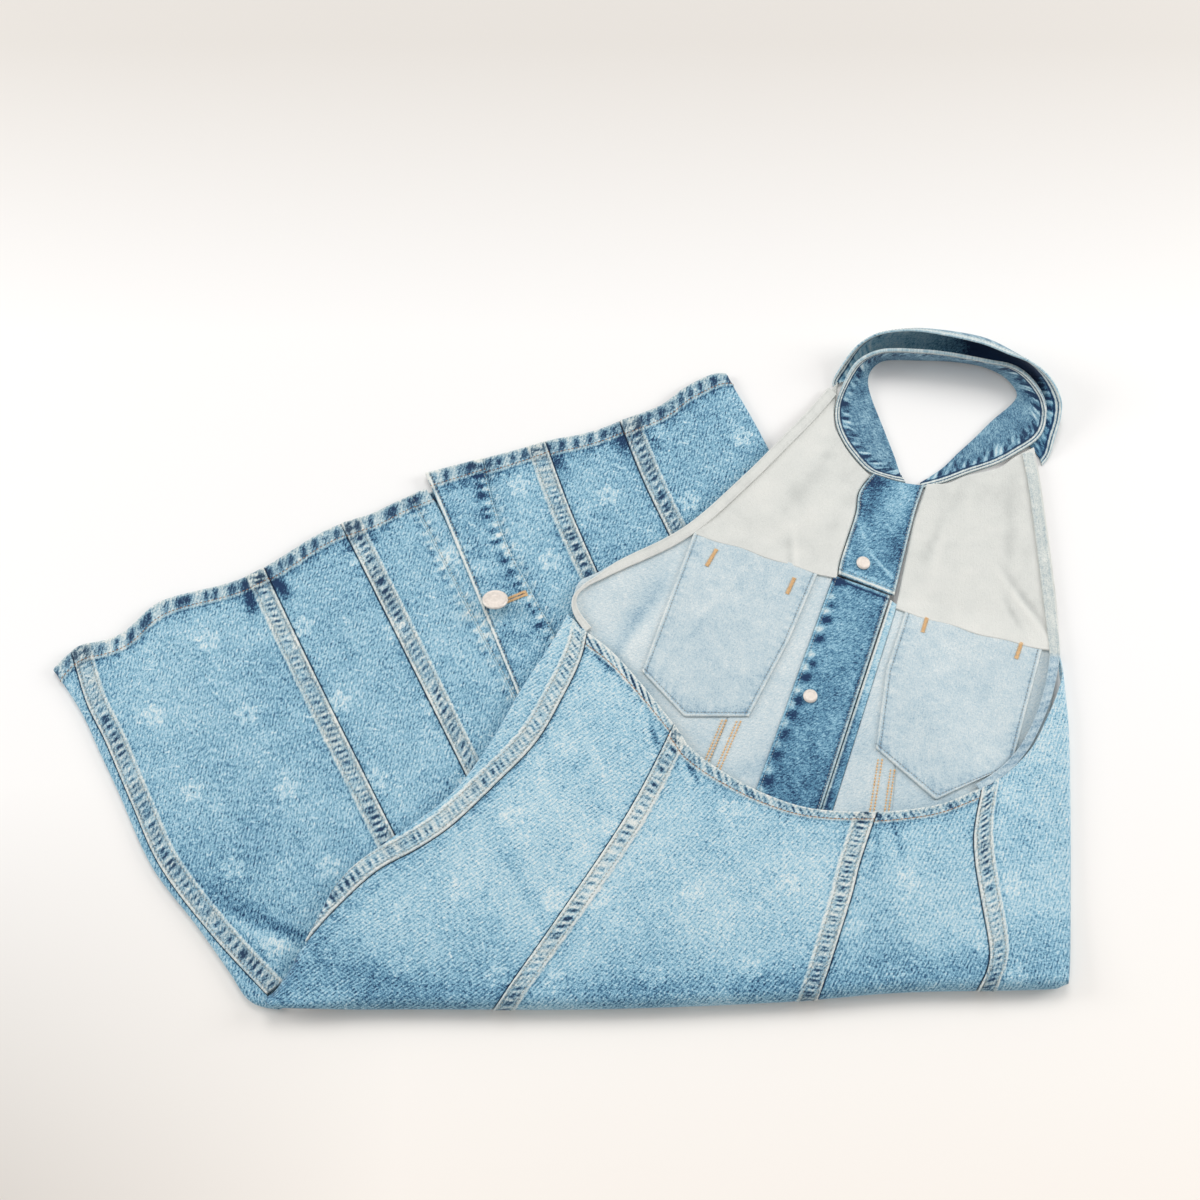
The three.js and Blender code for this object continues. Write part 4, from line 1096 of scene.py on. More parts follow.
@dataclass(frozen=True)
class Denim:
    """Washed cotton twill: a tone attribute with streaks, slubs and specks over it.

    The tone runs from -1, unworn indigo, to 1, bare white cotton.
    """

    name: str
    stops: tuple[Screen, ...]
    offset: float = 0.0
    streak: float = 0.7
    lump: float = 0.16
    speck: float = 0.7
    twill: float = 38.0
    rib: float = 0.0
    scratch: float = 0.0
    bare: float = 0.8
    flower: float = 0.0
    flower_size: float = 0.0098
    flower_gap: float = 0.062

    def _flowers(self, n: Nodes, cut: Socket) -> Socket:
        """1 inside small faded five-petal flowers set in a half drop."""
        parts = n.add("ShaderNodeSeparateXYZ")
        n.link(cut, parts.inputs[0])
        across = n.math("DIVIDE", parts.outputs[0], self.flower_gap)
        column = n.math("FLOOR", across)
        drop = n.math("MULTIPLY", n.math("FLOORED_MODULO", column, 2.0), 0.5)
        down = n.math("ADD", n.math("DIVIDE", parts.outputs[1], self.flower_gap * 1.1), drop)
        dx = n.math("MULTIPLY", n.math("SUBTRACT", n.math("FRACT", across), 0.5), self.flower_gap)
        dy = n.math("MULTIPLY", n.math("SUBTRACT", n.math("FRACT", down), 0.5), self.flower_gap * 1.1)
        radius = n.math("SQRT", n.math("ADD", n.math("MULTIPLY", dx, dx), n.math("MULTIPLY", dy, dy)))
        petal = n.math("ABSOLUTE", n.math("COSINE", n.math("MULTIPLY", n.math("ARCTAN2", dy, dx), 2.5)))
        rim = n.math("MULTIPLY_ADD", petal, self.flower_size * 0.62, self.flower_size * 0.38)
        inside = n.math("LESS_THAN", radius, rim)
        return n.math("MULTIPLY", inside, n.math("GREATER_THAN", radius, self.flower_size * 0.22))

    def material(self) -> bpy.types.Material:
        """Builds the material."""
        n = Nodes(self.name)
        cut = n.add("ShaderNodeUVMap", uv_map="Cut").outputs[0]
        tone = n.add("ShaderNodeAttribute", attribute_name="tone").outputs["Fac"]
        streaks = n.noise(n.scaled(cut, self.twill, (880.0, 300.0, 1.0)), 1.0, 3.0, 0.6)
        weft = n.noise(n.scaled(cut, -self.twill * 0.4, (280.0, 760.0, 1.0)), 1.0, 2.0, 0.6)
        lumps = n.noise(cut, 95.0, 4.0, 0.6)
        specks = n.noise(cut, 930.0, 3.0, 0.7)
        wave = n.add("ShaderNodeTexWave", wave_type="BANDS", bands_direction="X")
        n.link(n.scaled(cut, self.twill, (1.0, 1.0, 1.0)), wave.inputs["Vector"])
        fill(wave, Scale=TWILL_BANDS, Distortion=0.9, Detail_Scale=3.0)
        value = n.math("ADD", tone, self.offset)
        if self.scratch > 0:
            lines = n.noise(n.scaled(cut, -52.0, (300.0, 55.0, 1.0)), 1.0, 2.0, 0.6)
            raised = n.math("MAXIMUM", n.math("SUBTRACT", lines, 0.5), 0.0)
            value = n.math("MULTIPLY_ADD", raised, self.scratch, value)
        layers = ((streaks, self.streak), (weft, self.streak * 0.6), (lumps, self.lump),
                  (specks, self.speck), (wave.outputs["Fac"], self.rib))
        for part, share in layers:
            value = n.math("MULTIPLY_ADD", part, share, value)
        if self.flower > 0:
            worn = n.math("MULTIPLY_ADD", specks, 0.25 * self.flower, self.flower)
            value = n.math("MULTIPLY_ADD", self._flowers(n, cut), worn, value)
        place = n.math("MULTIPLY_ADD", value, 0.5, 0.5)
        colour = n.ramp(place, evenly(self.stops))
        if self.bare > 0:
            cotton = n.ramp(place, evenly(BARE_STOPS))
            bare = n.add("ShaderNodeAttribute", attribute_name="bare").outputs["Fac"]
            mix = n.add("ShaderNodeMix", data_type="RGBA")
            n.link(n.math("MULTIPLY", bare, self.bare), mix.inputs[0])
            n.link(colour, mix.inputs[6])
            n.link(cotton, mix.inputs[7])
            colour = mix.outputs[2]
        n.link(colour, n.shader.inputs["Base Color"])
        grain = n.math("ADD", streaks, n.math("MULTIPLY", specks, 0.7))
        height = n.math("MULTIPLY_ADD", wave.outputs["Fac"], 0.35, grain)
        n.bump(height, 0.5, 0.00022)
        fill(n.shader, Roughness=0.9, Specular_IOR_Level=0.18, Sheen_Weight=0.12, Sheen_Roughness=0.6)
        return n.material


@dataclass(frozen=True)
class Metal:
    """Brushed, slightly tarnished metal."""

    name: str
    colour: Screen
    dark: Screen
    roughness: float = 0.5

    def material(self) -> bpy.types.Material:
        """Builds the material."""
        n = Nodes(self.name)
        place = n.add("ShaderNodeTexCoord").outputs["Object"]
        cloud = n.noise(place, 420.0, 3.0, 0.6)
        colour = n.ramp(n.math("MULTIPLY_ADD", cloud, 0.3, 0.6), evenly((self.dark, self.colour)))
        n.link(colour, n.shader.inputs["Base Color"])
        n.link(n.math("MULTIPLY_ADD", cloud, 0.06, self.roughness), n.shader.inputs["Roughness"])
        n.bump(n.noise(place, 2600.0, 2.0, 0.6), 0.25, 0.00006)
        fill(n.shader, Metallic=0.3, Specular_IOR_Level=0.4)
        return n.material


@dataclass(frozen=True)
class Thread:
    """Twisted sewing thread."""

    name: str
    colour: Screen
    dark: Screen

    def material(self) -> bpy.types.Material:
        """Builds the material."""
        n = Nodes(self.name)
        place = n.add("ShaderNodeTexCoord").outputs["Object"]
        cloud = n.noise(place, 300.0, 3.0, 0.7)
        colour = n.ramp(n.math("MULTIPLY_ADD", cloud, 0.35, 0.55), evenly((self.dark, self.colour)))
        n.link(colour, n.shader.inputs["Base Color"])
        n.bump(n.noise(place, 3000.0, 1.0), 0.4, 0.0001)
        fill(n.shader, Roughness=0.7, Specular_IOR_Level=0.3)
        return n.material


BLUE_STOPS = (
    (22, 52, 88), (82, 132, 162), (146, 190, 210), (187, 213, 222), (224, 230, 229),
)
BARE_STOPS = (
    (46, 66, 84), (104, 126, 138), (164, 176, 178), (204, 208, 202), (230, 230, 223),
)
PALE_STOPS = (
    (84, 116, 142), (128, 158, 178), (178, 198, 207), (205, 216, 219), (232, 235, 233),
)
CREAM_STOPS = (
    (150, 150, 146), (186, 188, 184), (214, 215, 210), (228, 227, 221), (240, 239, 234),
)

SKIRT_DENIM = Denim("skirt_denim", BLUE_STOPS, offset=-0.22, rib=0.3, scratch=1.3, flower=0.42)
BACK_DENIM = Denim("back_denim", BLUE_STOPS, offset=-0.15, streak=0.66, speck=0.68, lump=0.18, twill=18.0,
                   rib=0.38, scratch=0.8, flower=0.26)
PLACKET_DENIM = Denim("placket_denim", BLUE_STOPS, offset=-0.47, streak=0.5, lump=0.2, speck=0.45)
LOWER_PLACKET_DENIM = Denim("lower_placket_denim", BLUE_STOPS, offset=-0.41, streak=0.5, lump=0.24,
                            speck=0.45)
COLLAR_DENIM = Denim("collar_denim", BLUE_STOPS, offset=-0.45, streak=0.4, lump=0.24, speck=0.36)
WRONG_SIDE = Denim("wrong_side_denim", PALE_STOPS, offset=0.41, streak=0.32, lump=0.15, speck=0.38)
POCKET_CLOTH = Denim("pocket_cloth", PALE_STOPS, offset=0.27, streak=0.3, lump=0.22, speck=0.4, twill=0.0)
LINING_CLOTH = Denim("lining_cloth", CREAM_STOPS, offset=0.06, streak=0.05, lump=0.08, speck=0.1, twill=0.0,
                     bare=0.0)
BUTTON_METAL = Metal("button_metal", (240, 230, 220), (206, 194, 184))
GOLD_THREAD = Thread("gold_thread", (238, 204, 158), (212, 166, 112))
TAN_THREAD = Thread("tan_thread", (196, 146, 104), (124, 86, 60))
GREY_THREAD = Thread("grey_thread", (168, 158, 146), (110, 104, 98))
PALE_THREAD = Thread("pale_thread", (200, 204, 200), (130, 140, 146))
BLUE_THREAD = Thread("blue_thread", (176, 178, 170), (112, 122, 128))


# --- stitches


@dataclass(frozen=True)
class Stitch:
    """How a row is sewn: sizes in mm."""

    pitch: float = 3.1
    length: float = 2.3
    thick: float = 0.62
    turn: float = 0.0


PLAIN_STITCH = Stitch()
FINE_STITCH = Stitch(pitch=2.6, length=1.9, thick=0.42)
SATIN_STITCH = Stitch(pitch=0.5, length=2.8, thick=0.55, turn=90.0)
TACK_STITCH = Stitch(pitch=0.5, length=3.9, thick=0.6, turn=90.0)


class StitchRows:
    """Geometry Nodes that lay stitches along rows, and the pieces made with them."""

    def __init__(self) -> None:
        """Builds the tree once."""
        self.tree = bpy.data.node_groups.new("StitchRows", "GeometryNodeTree")
        face = self.tree.interface
        face.new_socket(name="Rows", in_out="INPUT", socket_type="NodeSocketGeometry")
        self.inputs = {
            name: face.new_socket(name=name, in_out="INPUT", socket_type=kind).identifier
            for name, kind in (
                ("Pitch", "NodeSocketFloat"), ("Length", "NodeSocketFloat"), ("Thickness", "NodeSocketFloat"),
                ("Turn", "NodeSocketFloat"), ("Seed", "NodeSocketInt"), ("Thread", "NodeSocketMaterial"),
            )
        }
        face.new_socket(name="Stitches", in_out="OUTPUT", socket_type="NodeSocketGeometry")
        add, link = self.tree.nodes.new, self.tree.links.new
        given, out = add("NodeGroupInput"), add("NodeGroupOutput")
        curve, spaced = add("GeometryNodeMeshToCurve"), add("GeometryNodeResampleCurve")
        spaced.mode = "LENGTH"
        link(given.outputs["Rows"], curve.inputs[0])
        link(curve.outputs[0], spaced.inputs["Curve"])
        link(given.outputs["Pitch"], spaced.inputs["Length"])
        bead = add("GeometryNodeMeshUVSphere")
        fill(bead, Segments=6, Rings=5, Radius=0.5)
        up, tangent = add("GeometryNodeInputNamedAttribute"), add("GeometryNodeInputTangent")
        up.data_type = "FLOAT_VECTOR"
        up.inputs["Name"].default_value = "up"
        axes = add("FunctionNodeAxesToRotation")
        axes.primary_axis, axes.secondary_axis = "Z", "X"
        link(up.outputs["Attribute"], axes.inputs[0])
        link(tangent.outputs[0], axes.inputs[1])
        turned, jitter = add("FunctionNodeRotateRotation"), add("FunctionNodeRandomValue")
        turned.rotation_space = "LOCAL"
        jitter.data_type = "FLOAT"
        jitter.inputs[2].default_value, jitter.inputs[3].default_value = -0.14, 0.14
        link(given.outputs["Seed"], jitter.inputs["Seed"])
        total, euler = add("ShaderNodeMath"), add("ShaderNodeCombineXYZ")
        link(jitter.outputs[1], total.inputs[0])
        link(given.outputs["Turn"], total.inputs[1])
        link(total.outputs[0], euler.inputs[2])
        spin = add("FunctionNodeEulerToRotation")
        link(euler.outputs[0], spin.inputs[0])
        link(axes.outputs[0], turned.inputs[0])
        link(spin.outputs[0], turned.inputs[1])
        size, vary = add("ShaderNodeCombineXYZ"), add("FunctionNodeRandomValue")
        scale = add("ShaderNodeVectorMath")
        vary.data_type = "FLOAT"
        vary.inputs[2].default_value, vary.inputs[3].default_value = 0.86, 1.08
        link(given.outputs["Seed"], vary.inputs["Seed"])
        link(given.outputs["Length"], size.inputs[0])
        link(given.outputs["Thickness"], size.inputs[1])
        link(given.outputs["Thickness"], size.inputs[2])
        scale.operation = "SCALE"
        link(size.outputs[0], scale.inputs[0])
        link(vary.outputs[1], scale.inputs["Scale"])
        place, real = add("GeometryNodeInstanceOnPoints"), add("GeometryNodeRealizeInstances")
        dye = add("GeometryNodeSetMaterial")
        link(spaced.outputs[0], place.inputs["Points"])
        link(bead.outputs[0], place.inputs["Instance"])
        link(turned.outputs[0], place.inputs["Rotation"])
        link(scale.outputs[0], place.inputs["Scale"])
        link(place.outputs[0], real.inputs[0])
        link(real.outputs[0], dye.inputs["Geometry"])
        link(given.outputs["Thread"], dye.inputs["Material"])
        link(dye.outputs[0], out.inputs[0])

    def sew(self, name: str, rows: Sequence[Row], stitch: Stitch, thread: bpy.types.Material,
            seed: int = 1, lift: float = STITCH_LIFT) -> bpy.types.Object:
        """Makes one piece of all the stitches along rows.

        Args:
            name: Piece name.
            rows: Lines on the cloth, plan mm.
            stitch: Sizes of a stitch.
            thread: Thread material.
            seed: Picks the jitter.
            lift: Height of a stitch's middle over the cloth, mm.

        Returns:
            A plain mesh object at the origin.
        """
        rows = [row for row in rows if len(row.points) > 1]
        starts = np.cumsum([0] + [len(row.points) for row in rows])
        points = (np.concatenate([row.points + row.up * lift for row in rows]) - ORIGIN) * MM
        mesh = bpy.data.meshes.new(name + "_rows")
        mesh.vertices.add(len(points))
        mesh.vertices.foreach_set("co", points.astype(np.float32).ravel())
        pairs = np.concatenate([
            np.stack([np.arange(a, b - 1), np.arange(a + 1, b)], -1) for a, b in zip(starts, starts[1:])])
        mesh.edges.add(len(pairs))
        mesh.edges.foreach_set("vertices", pairs.astype(np.int32).ravel())
        store = mesh.attributes.new("up", "FLOAT_VECTOR", "POINT")
        store.data.foreach_set("vector", np.concatenate([row.up for row in rows]).astype(np.float32).ravel())
        mesh.update()
        guide = placed(name + "_rows", mesh)
        modifier = guide.modifiers.new("stitches", "NODES")
        modifier.node_group = self.tree
        for key, value in (
            ("Pitch", stitch.pitch * MM), ("Length", stitch.length * MM), ("Thickness", stitch.thick * MM),
            ("Turn", math.radians(stitch.turn)), ("Seed", seed), ("Thread", thread),
        ):
            modifier[self.inputs[key]] = value
        graph = bpy.context.evaluated_depsgraph_get()
        made = bpy.data.meshes.new_from_object(guide.evaluated_get(graph), depsgraph=graph)
        guide.modifiers.clear()
        bpy.data.objects.remove(guide)
        made.name = name
        made.shade_smooth()
        return placed(name, made)


# --- cloth pieces of the dress


class Lie(Enum):
    """How a piece of cloth lies."""

    LAID = "laid"
    FOLDED = "folded"


def declare(obj: bpy.types.Object, node: str, slot: str, dye: bpy.types.Material) -> None:
    """Declares a finished piece of the dress.

    Args:
        obj: The piece.
        node: The CAD node it stands for.
        slot: Its paint slot; not used.
        dye: Its material.
    """
    obj.data.materials.clear()
    obj.data.materials.append(dye)
    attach(obj, "root")
    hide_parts(node)
    LOG.info("%s: %d faces", obj.name, len(obj.data.polygons))


def declare_trim(obj: bpy.types.Object) -> None:
    """Gives a small sewn-on piece its body."""
    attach(obj, "root")
    LOG.info("%s: %d faces", obj.name, len(obj.data.polygons))


@dataclass(frozen=True)
class Cut:
    """The flat size of a piece of cloth, metres."""

    width: float
    length: float
    area: float


LEAST_WIDTH = 0.01  # metres, of a narrow piece laid flat


def cut_of(face: Array, back: Array) -> Cut:
    """The flat size of a wall of cloth, from the surface midway through it.

    Args:
        face: Points of its face side.
        back: Points of its other side.

    Returns:
        Its width, length and area.
    """
    middle = (face + back) / 2
    across, down = np.diff(middle, axis=1)[:-1], np.diff(middle, axis=0)[:, :-1]
    area = float(np.linalg.norm(np.cross(across, down), axis=-1).sum())
    width = float(np.linalg.norm(np.diff(middle, axis=1), axis=-1).sum(1).max())
    length = float(np.linalg.norm(np.diff(middle, axis=0), axis=-1).sum(0).max())
    return Cut(max(width * MM, LEAST_WIDTH), length * MM, area * MM * MM)


@dataclass
class Garment:
    """What the sub-assemblies share: the finishes and the sewing machine."""

    dyes: dict[str, bpy.types.Material]
    machine: StitchRows

    def piece(self, panel: Panel, slot: str, dye: Denim, held: Lie = Lie.LAID) -> None:
        """Builds and declares one panel.

        Args:
            panel: The panel.
            slot: Its paint slot.
            dye: Its finish.
            held: How it lies; not used.
        """
        obj = panel.build()
        declare(obj, panel.name, slot, self.dyes[dye.name])
        cut = cut_of(panel.outer, panel.inner)
        LOG.info("%s: cut %.3f x %.3f m, %.4f m2", panel.name, cut.width, cut.length, cut.area)

    def sew(self, name: str, rows: Sequence[Row], stitch: Stitch, thread: Thread, slot: str = "denim",
            seed: int = 1) -> None:
        """Sews rows as one piece."""
        declare_trim(self.machine.sew(name, rows, stitch, self.dyes[thread.name], seed))


def seamed(left: Line, right: Line) -> dict[str, Line]:
    """A panel's sides drawn in by half a seam gap."""
    return {"left": shifted(left, SEAM_GAP / 2), "right": shifted(right, -SEAM_GAP / 2)}


@dataclass
class SkirtFront:
    """The skirt's front: nine pieces between the left side seam and the right edge."""

    hem_left: Rows = (
        (-387, 15), (-374, 34), (-351, 41), (-336, 49), (-319, 67), (-302, 76), (-259, 88), (-234, 100),
        (-188, 129), (-149, 146), (-121, 162), (-109, 167),
    )
    hem_right: Rows = (
        (-109, 180), (-66, 192), (-29, 203), (-7, 210), (19, 214), (44, 223), (78, 239), (97, 255),
        (119, 268), (134, 268),
    )
    seams: dict[str, Rows] = field(default_factory=lambda: {
        "side_left": [[-377, 31], [-362, -10], [-345, -41], [-321, -90], [-296, -138], [-256, -187],
                      [-212, -232]],
        "princess_left": [[-233, 100], [-184, 3], [-122, -116], [-106, -148]],
        "dart_left": [[-174, 137], [-140, 70], [-76, -57], [-60, -90]],
        "band_join": [[-121, 161], [-94, 108], [-37, -4], [-21, -36]],
        "band_end": [[-108, 167], [-88, 131], [-33, -4], [-20, -36]],
        "placket_edge": [[-109, 180], [-88, 131], [-33, -4], [-20, -36]],
        "placket_join": [[-64, 193], [-46, 128], [-24, 82], [-6, 47], [8, 16]],
        "dart_right": [[-14, 208], [6, 150], [28, 96], [42, 64]],
        "princess_right": [[46, 226], [64, 176], [82, 134], [96, 103]],
    })
    # The first three marks paint the light and shade of a fold near the lower left: painted shadow above its
    # crease and a painted highlight on its ridge. The fourth darkens a broad patch.
    marks: Sequence[Mark] = (
        Mark(-232, -171, -30, 34, 11, -0.5, -0.2), Mark(-214, -191, -26, 40, 5, 0.4, 0.3),
        Mark(-196, -186, -20, 18, 4, -0.5), Mark(-240, -120, 60, 60, 26, -0.14),
        Mark(-300, -20, 60, 60, 30, 0.1), Mark(-60, 90, 62, 70, 12, 0.12),
    )

    def build(self, garment: Garment) -> None:
        """Makes the skirt front and its stitching."""
        hems = {"left": Outline(self.hem_left, 120), "right": Outline(self.hem_right, 120)}
        seam = {name: spline(rows) for name, rows in self.seams.items()}
        seam["edge_left"] = SKIRT.past_between((-388, 17), (-200, -243))
        seam["edge_right"] = SKIRT.past_between((134, 266), (180, 172))
        soft, tape, groove = Trim(), Tape(), Groove()
        marks = [*self.marks]
        for name, aside, depth in (
            ("princess_left", 5.5, 1.3), ("princess_left", -20.0, 1.5), ("dart_left", -4.0, 0.5),
            ("dart_left", 19.0, 0.3), ("dart_right", 5.0, 0.5), ("princess_right", -4.5, 0.7),
            ("princess_right", 19.0, 0.4), ("placket_join", -5.0, 0.6),
        ):
            line = seam[name]
            run = line.at(np.array(24 / line.length)) - line.at(np.array(12 / line.length))
            turn = math.degrees(math.atan2(run[1], run[0]))
            foot = line.at(np.array((HEM + 8) / line.length)) + aside * leftward(run) / 12
            lean = math.copysign(14, aside)
            marks.append(Mark(float(foot[0]), float(foot[1]), turn + lean, 11, 5.0, -depth))
        rows = (
            ("skirt_back_left", "edge_left", "side_left", "left", soft, groove, Side.LEFT),
            ("skirt_front_side_left", "side_left", "princess_left", "left", tape, tape, None),
            ("skirt_front_middle_left", "princess_left", "dart_left", "left", groove, groove, None),
            ("skirt_front_centre_left", "dart_left", "band_join", "left", tape, Puckered(depth=0.7), None),
            ("skirt_button_band", "band_join", "band_end", "left", Puckered(depth=0.5, reach=3), soft, None),
            ("skirt_placket", "placket_edge", "placket_join", "right",
             Piped(cord=1.5, row=4.4, pale=1.4, dark=0.9, thick=0.35),
             Puckered(pitch=10.5, reach=7.5, depth=1.25), None),
            ("skirt_front_centre_right", "placket_join", "dart_right", "right",
             Puckered(depth=0.35, pale=0.0), tape, None),
            ("skirt_front_middle_right", "dart_right", "princess_right", "right", groove, groove, None),
            ("skirt_front_side_right", "princess_right", "edge_right", "right", tape, soft, Side.RIGHT),
        )
        hem_rows, tape_rows = [], []
        for i, (name, left, right, hem, left_trim, right_trim, wrap) in enumerate(rows):
            placket = name == "skirt_placket"
            top = hems[hem].between(seam[left].at(np.array(0.0)), seam[right].at(np.array(0.0)))
            panel = Panel(
                name, SKIRT, **seamed(seam[left], seam[right]), top=top,
                lift=PLACKET_RISE if placket else 0.0, wall=DOUBLE if placket else CLOTH,
                trims={Side.TOP: Hem(), Side.LEFT: left_trim, Side.RIGHT: right_trim},
                wraps=frozenset([wrap] if wrap else []), marks=marks,
                shade=self.placket_shade if placket else self.shade, seed=11.0 * i + 3,
            )
            garment.piece(panel, "denim", SKIRT_DENIM, Lie.FOLDED if wrap else Lie.LAID)
            hem_rows.append(panel.row(Side.TOP, HEM_ROW, 0.5, 0.5))
            for side, trim in ((Side.LEFT, left_trim), (Side.RIGHT, right_trim)):
                if isinstance(trim, Tape):
                    tape_rows += [panel.row(side, at, HEM + 1, 1) for at in TAPE_ROWS]
            if placket:
                tape_rows.append(panel.row(Side.LEFT, 3.4, 2, 0))
                tape_rows.append(panel.row(Side.RIGHT, 1.4, HEM, 0))
            if name == "skirt_button_band":
                tape_rows.append(panel.row(Side.LEFT, 1.6, 2, 0))
        garment.sew("skirt_hem_rows", hem_rows, PLAIN_STITCH, TAN_THREAD, seed=3)
        garment.sew("skirt_tape_rows", tape_rows, PLAIN_STITCH, BLUE_THREAD, seed=5)
        hole = [over_sheet(SKIRT, rows, PLACKET_RISE + 0.2) for rows in (
            [[-43, 73.4], [-28.5, 79.6]], [[-42.2, 70.8], [-27.8, 77]])]
        end = [over_sheet(SKIRT, [[-28.6, 80.2], [-26.8, 76.2]], PLACKET_RISE + 0.2)]
        garment.sew("buttonhole", hole + end, SATIN_STITCH, GOLD_THREAD, seed=7)

    @staticmethod
    def shade(x: Array, y: Array) -> Array:
        """Paler towards the hem on the left, with broad mottling, and a painted shadow under and just beside
        the upper half's edge.
        """
        pale = 0.04 * ramp(-x, 150, 360) + 0.08 * mottle(x, y, 75, 5)
        return pale - 0.1 * ramp(-UPPER_EDGE.nearest(x.ravel(), y.ravel()).distance.reshape(x.shape), 30, 0)

    @staticmethod
    def placket_shade(x: Array, y: Array) -> Array:
        """The placket is darker and more blotched than the rest, and has the skirt's painted shadow by the
        upper half.
        """
        return SkirtFront.shade(x, y) - 0.12 + 0.2 * mottle(x, y, 9, 77) + 0.15 * mottle(x, y * 2.2, 16, 61)


@dataclass
class UpperBack:
    """The back of the upper half with the strips of front cloth at its edges."""

    neckline: Rows = (
        (20, 46), (40, 29), (61, 4), (86, -30), (98, -48), (119, -65), (150, -83), (183, -95), (222, -99),
        (250, -98), (285, -92), (316, -79),
    )
    seams: dict[str, Rows] = field(default_factory=lambda: {
        "side_left": [
            [20, 44], [15, 22], [3, -5], [-18, -43], [-48, -76], [-79, -107], [-104, -125], [-135, -143],
            [-162, -169], [-180, -190], [-191, -203],
        ],
        "princess_left": [[86, -30], [61, -80], [38, -119], [-4, -182], [-45, -243]],
        "princess_right": [[236, -98], [222, -136], [214, -163], [197, -211], [188, -236]],
        "side_right": [[316, -79], [308, -112], [307, -135], [309, -159], [313, -198], [311, -214],
                       [304, -230]],
    })
    armhole: Rows = ((317, -80), (337, -66), (355, -47), (367, -24), (377, 0), (384, 24), (386, 38))
    corner_left: tuple[float, float] = (-213, -239)
    corner_right: tuple[float, float] = (369, -221)
    marks: Sequence[Mark] = (
        Mark(28, 26, -62, 12, 2.4, -0.75, -0.4), Mark(38, 15, -58, 12, 2.6, -0.7, -0.4),
        Mark(33, 24, -60, 14, 1.8, 0.5, 0.3), Mark(72, -42, -75, 16, 2.2, -0.8, -0.3),
        Mark(98, -66, -60, 15, 2.2, -0.75, -0.3), Mark(94, -62, -62, 17, 2.0, 0.6, 0.2),
        Mark(236, -118, -100, 22, 3.0, -0.45), Mark(250, -116, -80, 20, 2.5, -0.5, -0.2),
        Mark(28, -60, -64, 40, 5.0, 0.25), Mark(-28, -150, -60, 50, 7.0, -0.28),
        Mark(8, -110, -62, 60, 10.0, 0.22), Mark(235, -190, -85, 45, 12.0, -0.2),
        # The four marks along the fold are painted shade where the cloth rolls under.
        Mark(290, -215, 5, 60, 14.0, -0.28), Mark(0, -232, 0, 120, 12.0, -0.22),
        Mark(150, -226, 2, 90, 10.0, -0.22), Mark(-150, -215, -20, 60, 16.0, -0.3),
        Mark(345, -120, -88, 80, 12.0, -0.15),
    )

    def build(self, garment: Garment) -> None:
        """Makes the back, the strips and their stitching."""
        neck = Outline(self.neckline, 120)
        down = {}
        for name, rows in self.seams.items():
            down[name] = spline([*rows, BACK.past(rows[-1]).tolist()])
        down["left_turned"] = spline([
            *self.seams["side_left"], (-205, -224), BACK.past(self.corner_left).tolist()])
        edge_left = BACK.past_between((6, 61), (-183, -194))
        edge_right = BACK.past_between((386, 37), self.corner_right)
        tape, groove = Tape(), Groove()
        hem = Hem(width=NECK_HEM, pitch=6.2, slant=-0.9, blot_at=0.48, blot_width=0.4, fine=0.25,
                  rope=lambda s: 0.95 + 0 * s)
        turned = down["left_turned"]
        shares = np.linspace(0, 1, 800)
        last = float(shares[np.flatnonzero(turned.at(shares)[:, 1] > -195)[-1]])
        left_seam = first_share(shifted(turned, -SEAM_GAP / 2), last)

        def back(name: str, left: str, right: str, a: Sequence[float], b: Sequence[float],
                 left_trim: Trim, right_trim: Trim, seed: float, hem: Trim) -> Panel:
            """One of the three back panels."""
            start, end = down[left].at(np.array(0.0)), down[right].at(np.array(0.0))
            return Panel(name, BACK, **seamed(down[left], down[right]), top=neck.between(start, end),
                         bottom=BACK.past_between(a, b), wraps=frozenset([Side.BOTTOM]), marks=self.marks,
                         trims={Side.TOP: hem, Side.LEFT: left_trim, Side.RIGHT: right_trim},
                         shade=self.shade, seed=seed)

        roped = Hem(width=NECK_HEM, pitch=12.0, slant=-2.0, blot_at=0.48, blot_width=0.4, blob=0.22,
                    fine=0.1, rope=lambda s: 1.9 - 1.2 * ramp(s, 70, 105))
        panels = [
            back("back_side_left", "left_turned", "princess_left", self.corner_left, (-45, -243), groove,
                 groove, 31, roped),
            back("back_centre", "princess_left", "princess_right", (-45, -243), (188, -236), tape, tape, 47,
                 hem),
            back("back_side_right", "princess_right", "side_right", (188, -236), (304, -230), groove, groove,
                 59, hem),
            Panel("front_side_left", BACK, edge_left, left_seam, wraps=frozenset([Side.LEFT]),
                  trims={Side.RIGHT: tape}, shade=self.shade, seed=71),
            Panel("front_side_right", BACK, shifted(down["side_right"], SEAM_GAP / 2), edge_right,
                  top=spline(self.armhole), bottom=BACK.past_between((304, -230), self.corner_right),
                  wraps=frozenset([Side.RIGHT, Side.BOTTOM]), trims={Side.LEFT: tape, Side.TOP: Trim()},
                  marks=self.marks, shade=self.shade, seed=83),
        ]
        hem_rows, tape_rows = [], []
        for panel in panels:
            garment.piece(panel, "denim", BACK_DENIM, Lie.FOLDED)
            if panel.name.startswith("back"):
                hem_rows.append(panel.row(Side.TOP, NECK_ROW, 0.3, 0.3))
            for side, trim in panel.trims.items():
                if isinstance(trim, Tape):
                    tape_rows += [panel.row(side, at, NECK_HEM + 1, 6) for at in TAPE_ROWS]
        garment.sew("neckline_row", hem_rows, Stitch(pitch=2.9, length=2.8, thick=0.7), TAN_THREAD, seed=11)
        garment.sew("back_tape_rows", tape_rows, PLAIN_STITCH, BLUE_THREAD, seed=13)

    @staticmethod
    def shade(x: Array, y: Array) -> Array:
        """Broad tone: palest in the middle, bluer towards the fold and the left edge."""
        tone = 0.2 - 0.3 * ramp(-y, 150, 235) + 0.12 * mottle(x, y, 60, 9)
        return tone - 0.22 * ramp(-x, 40, 190)


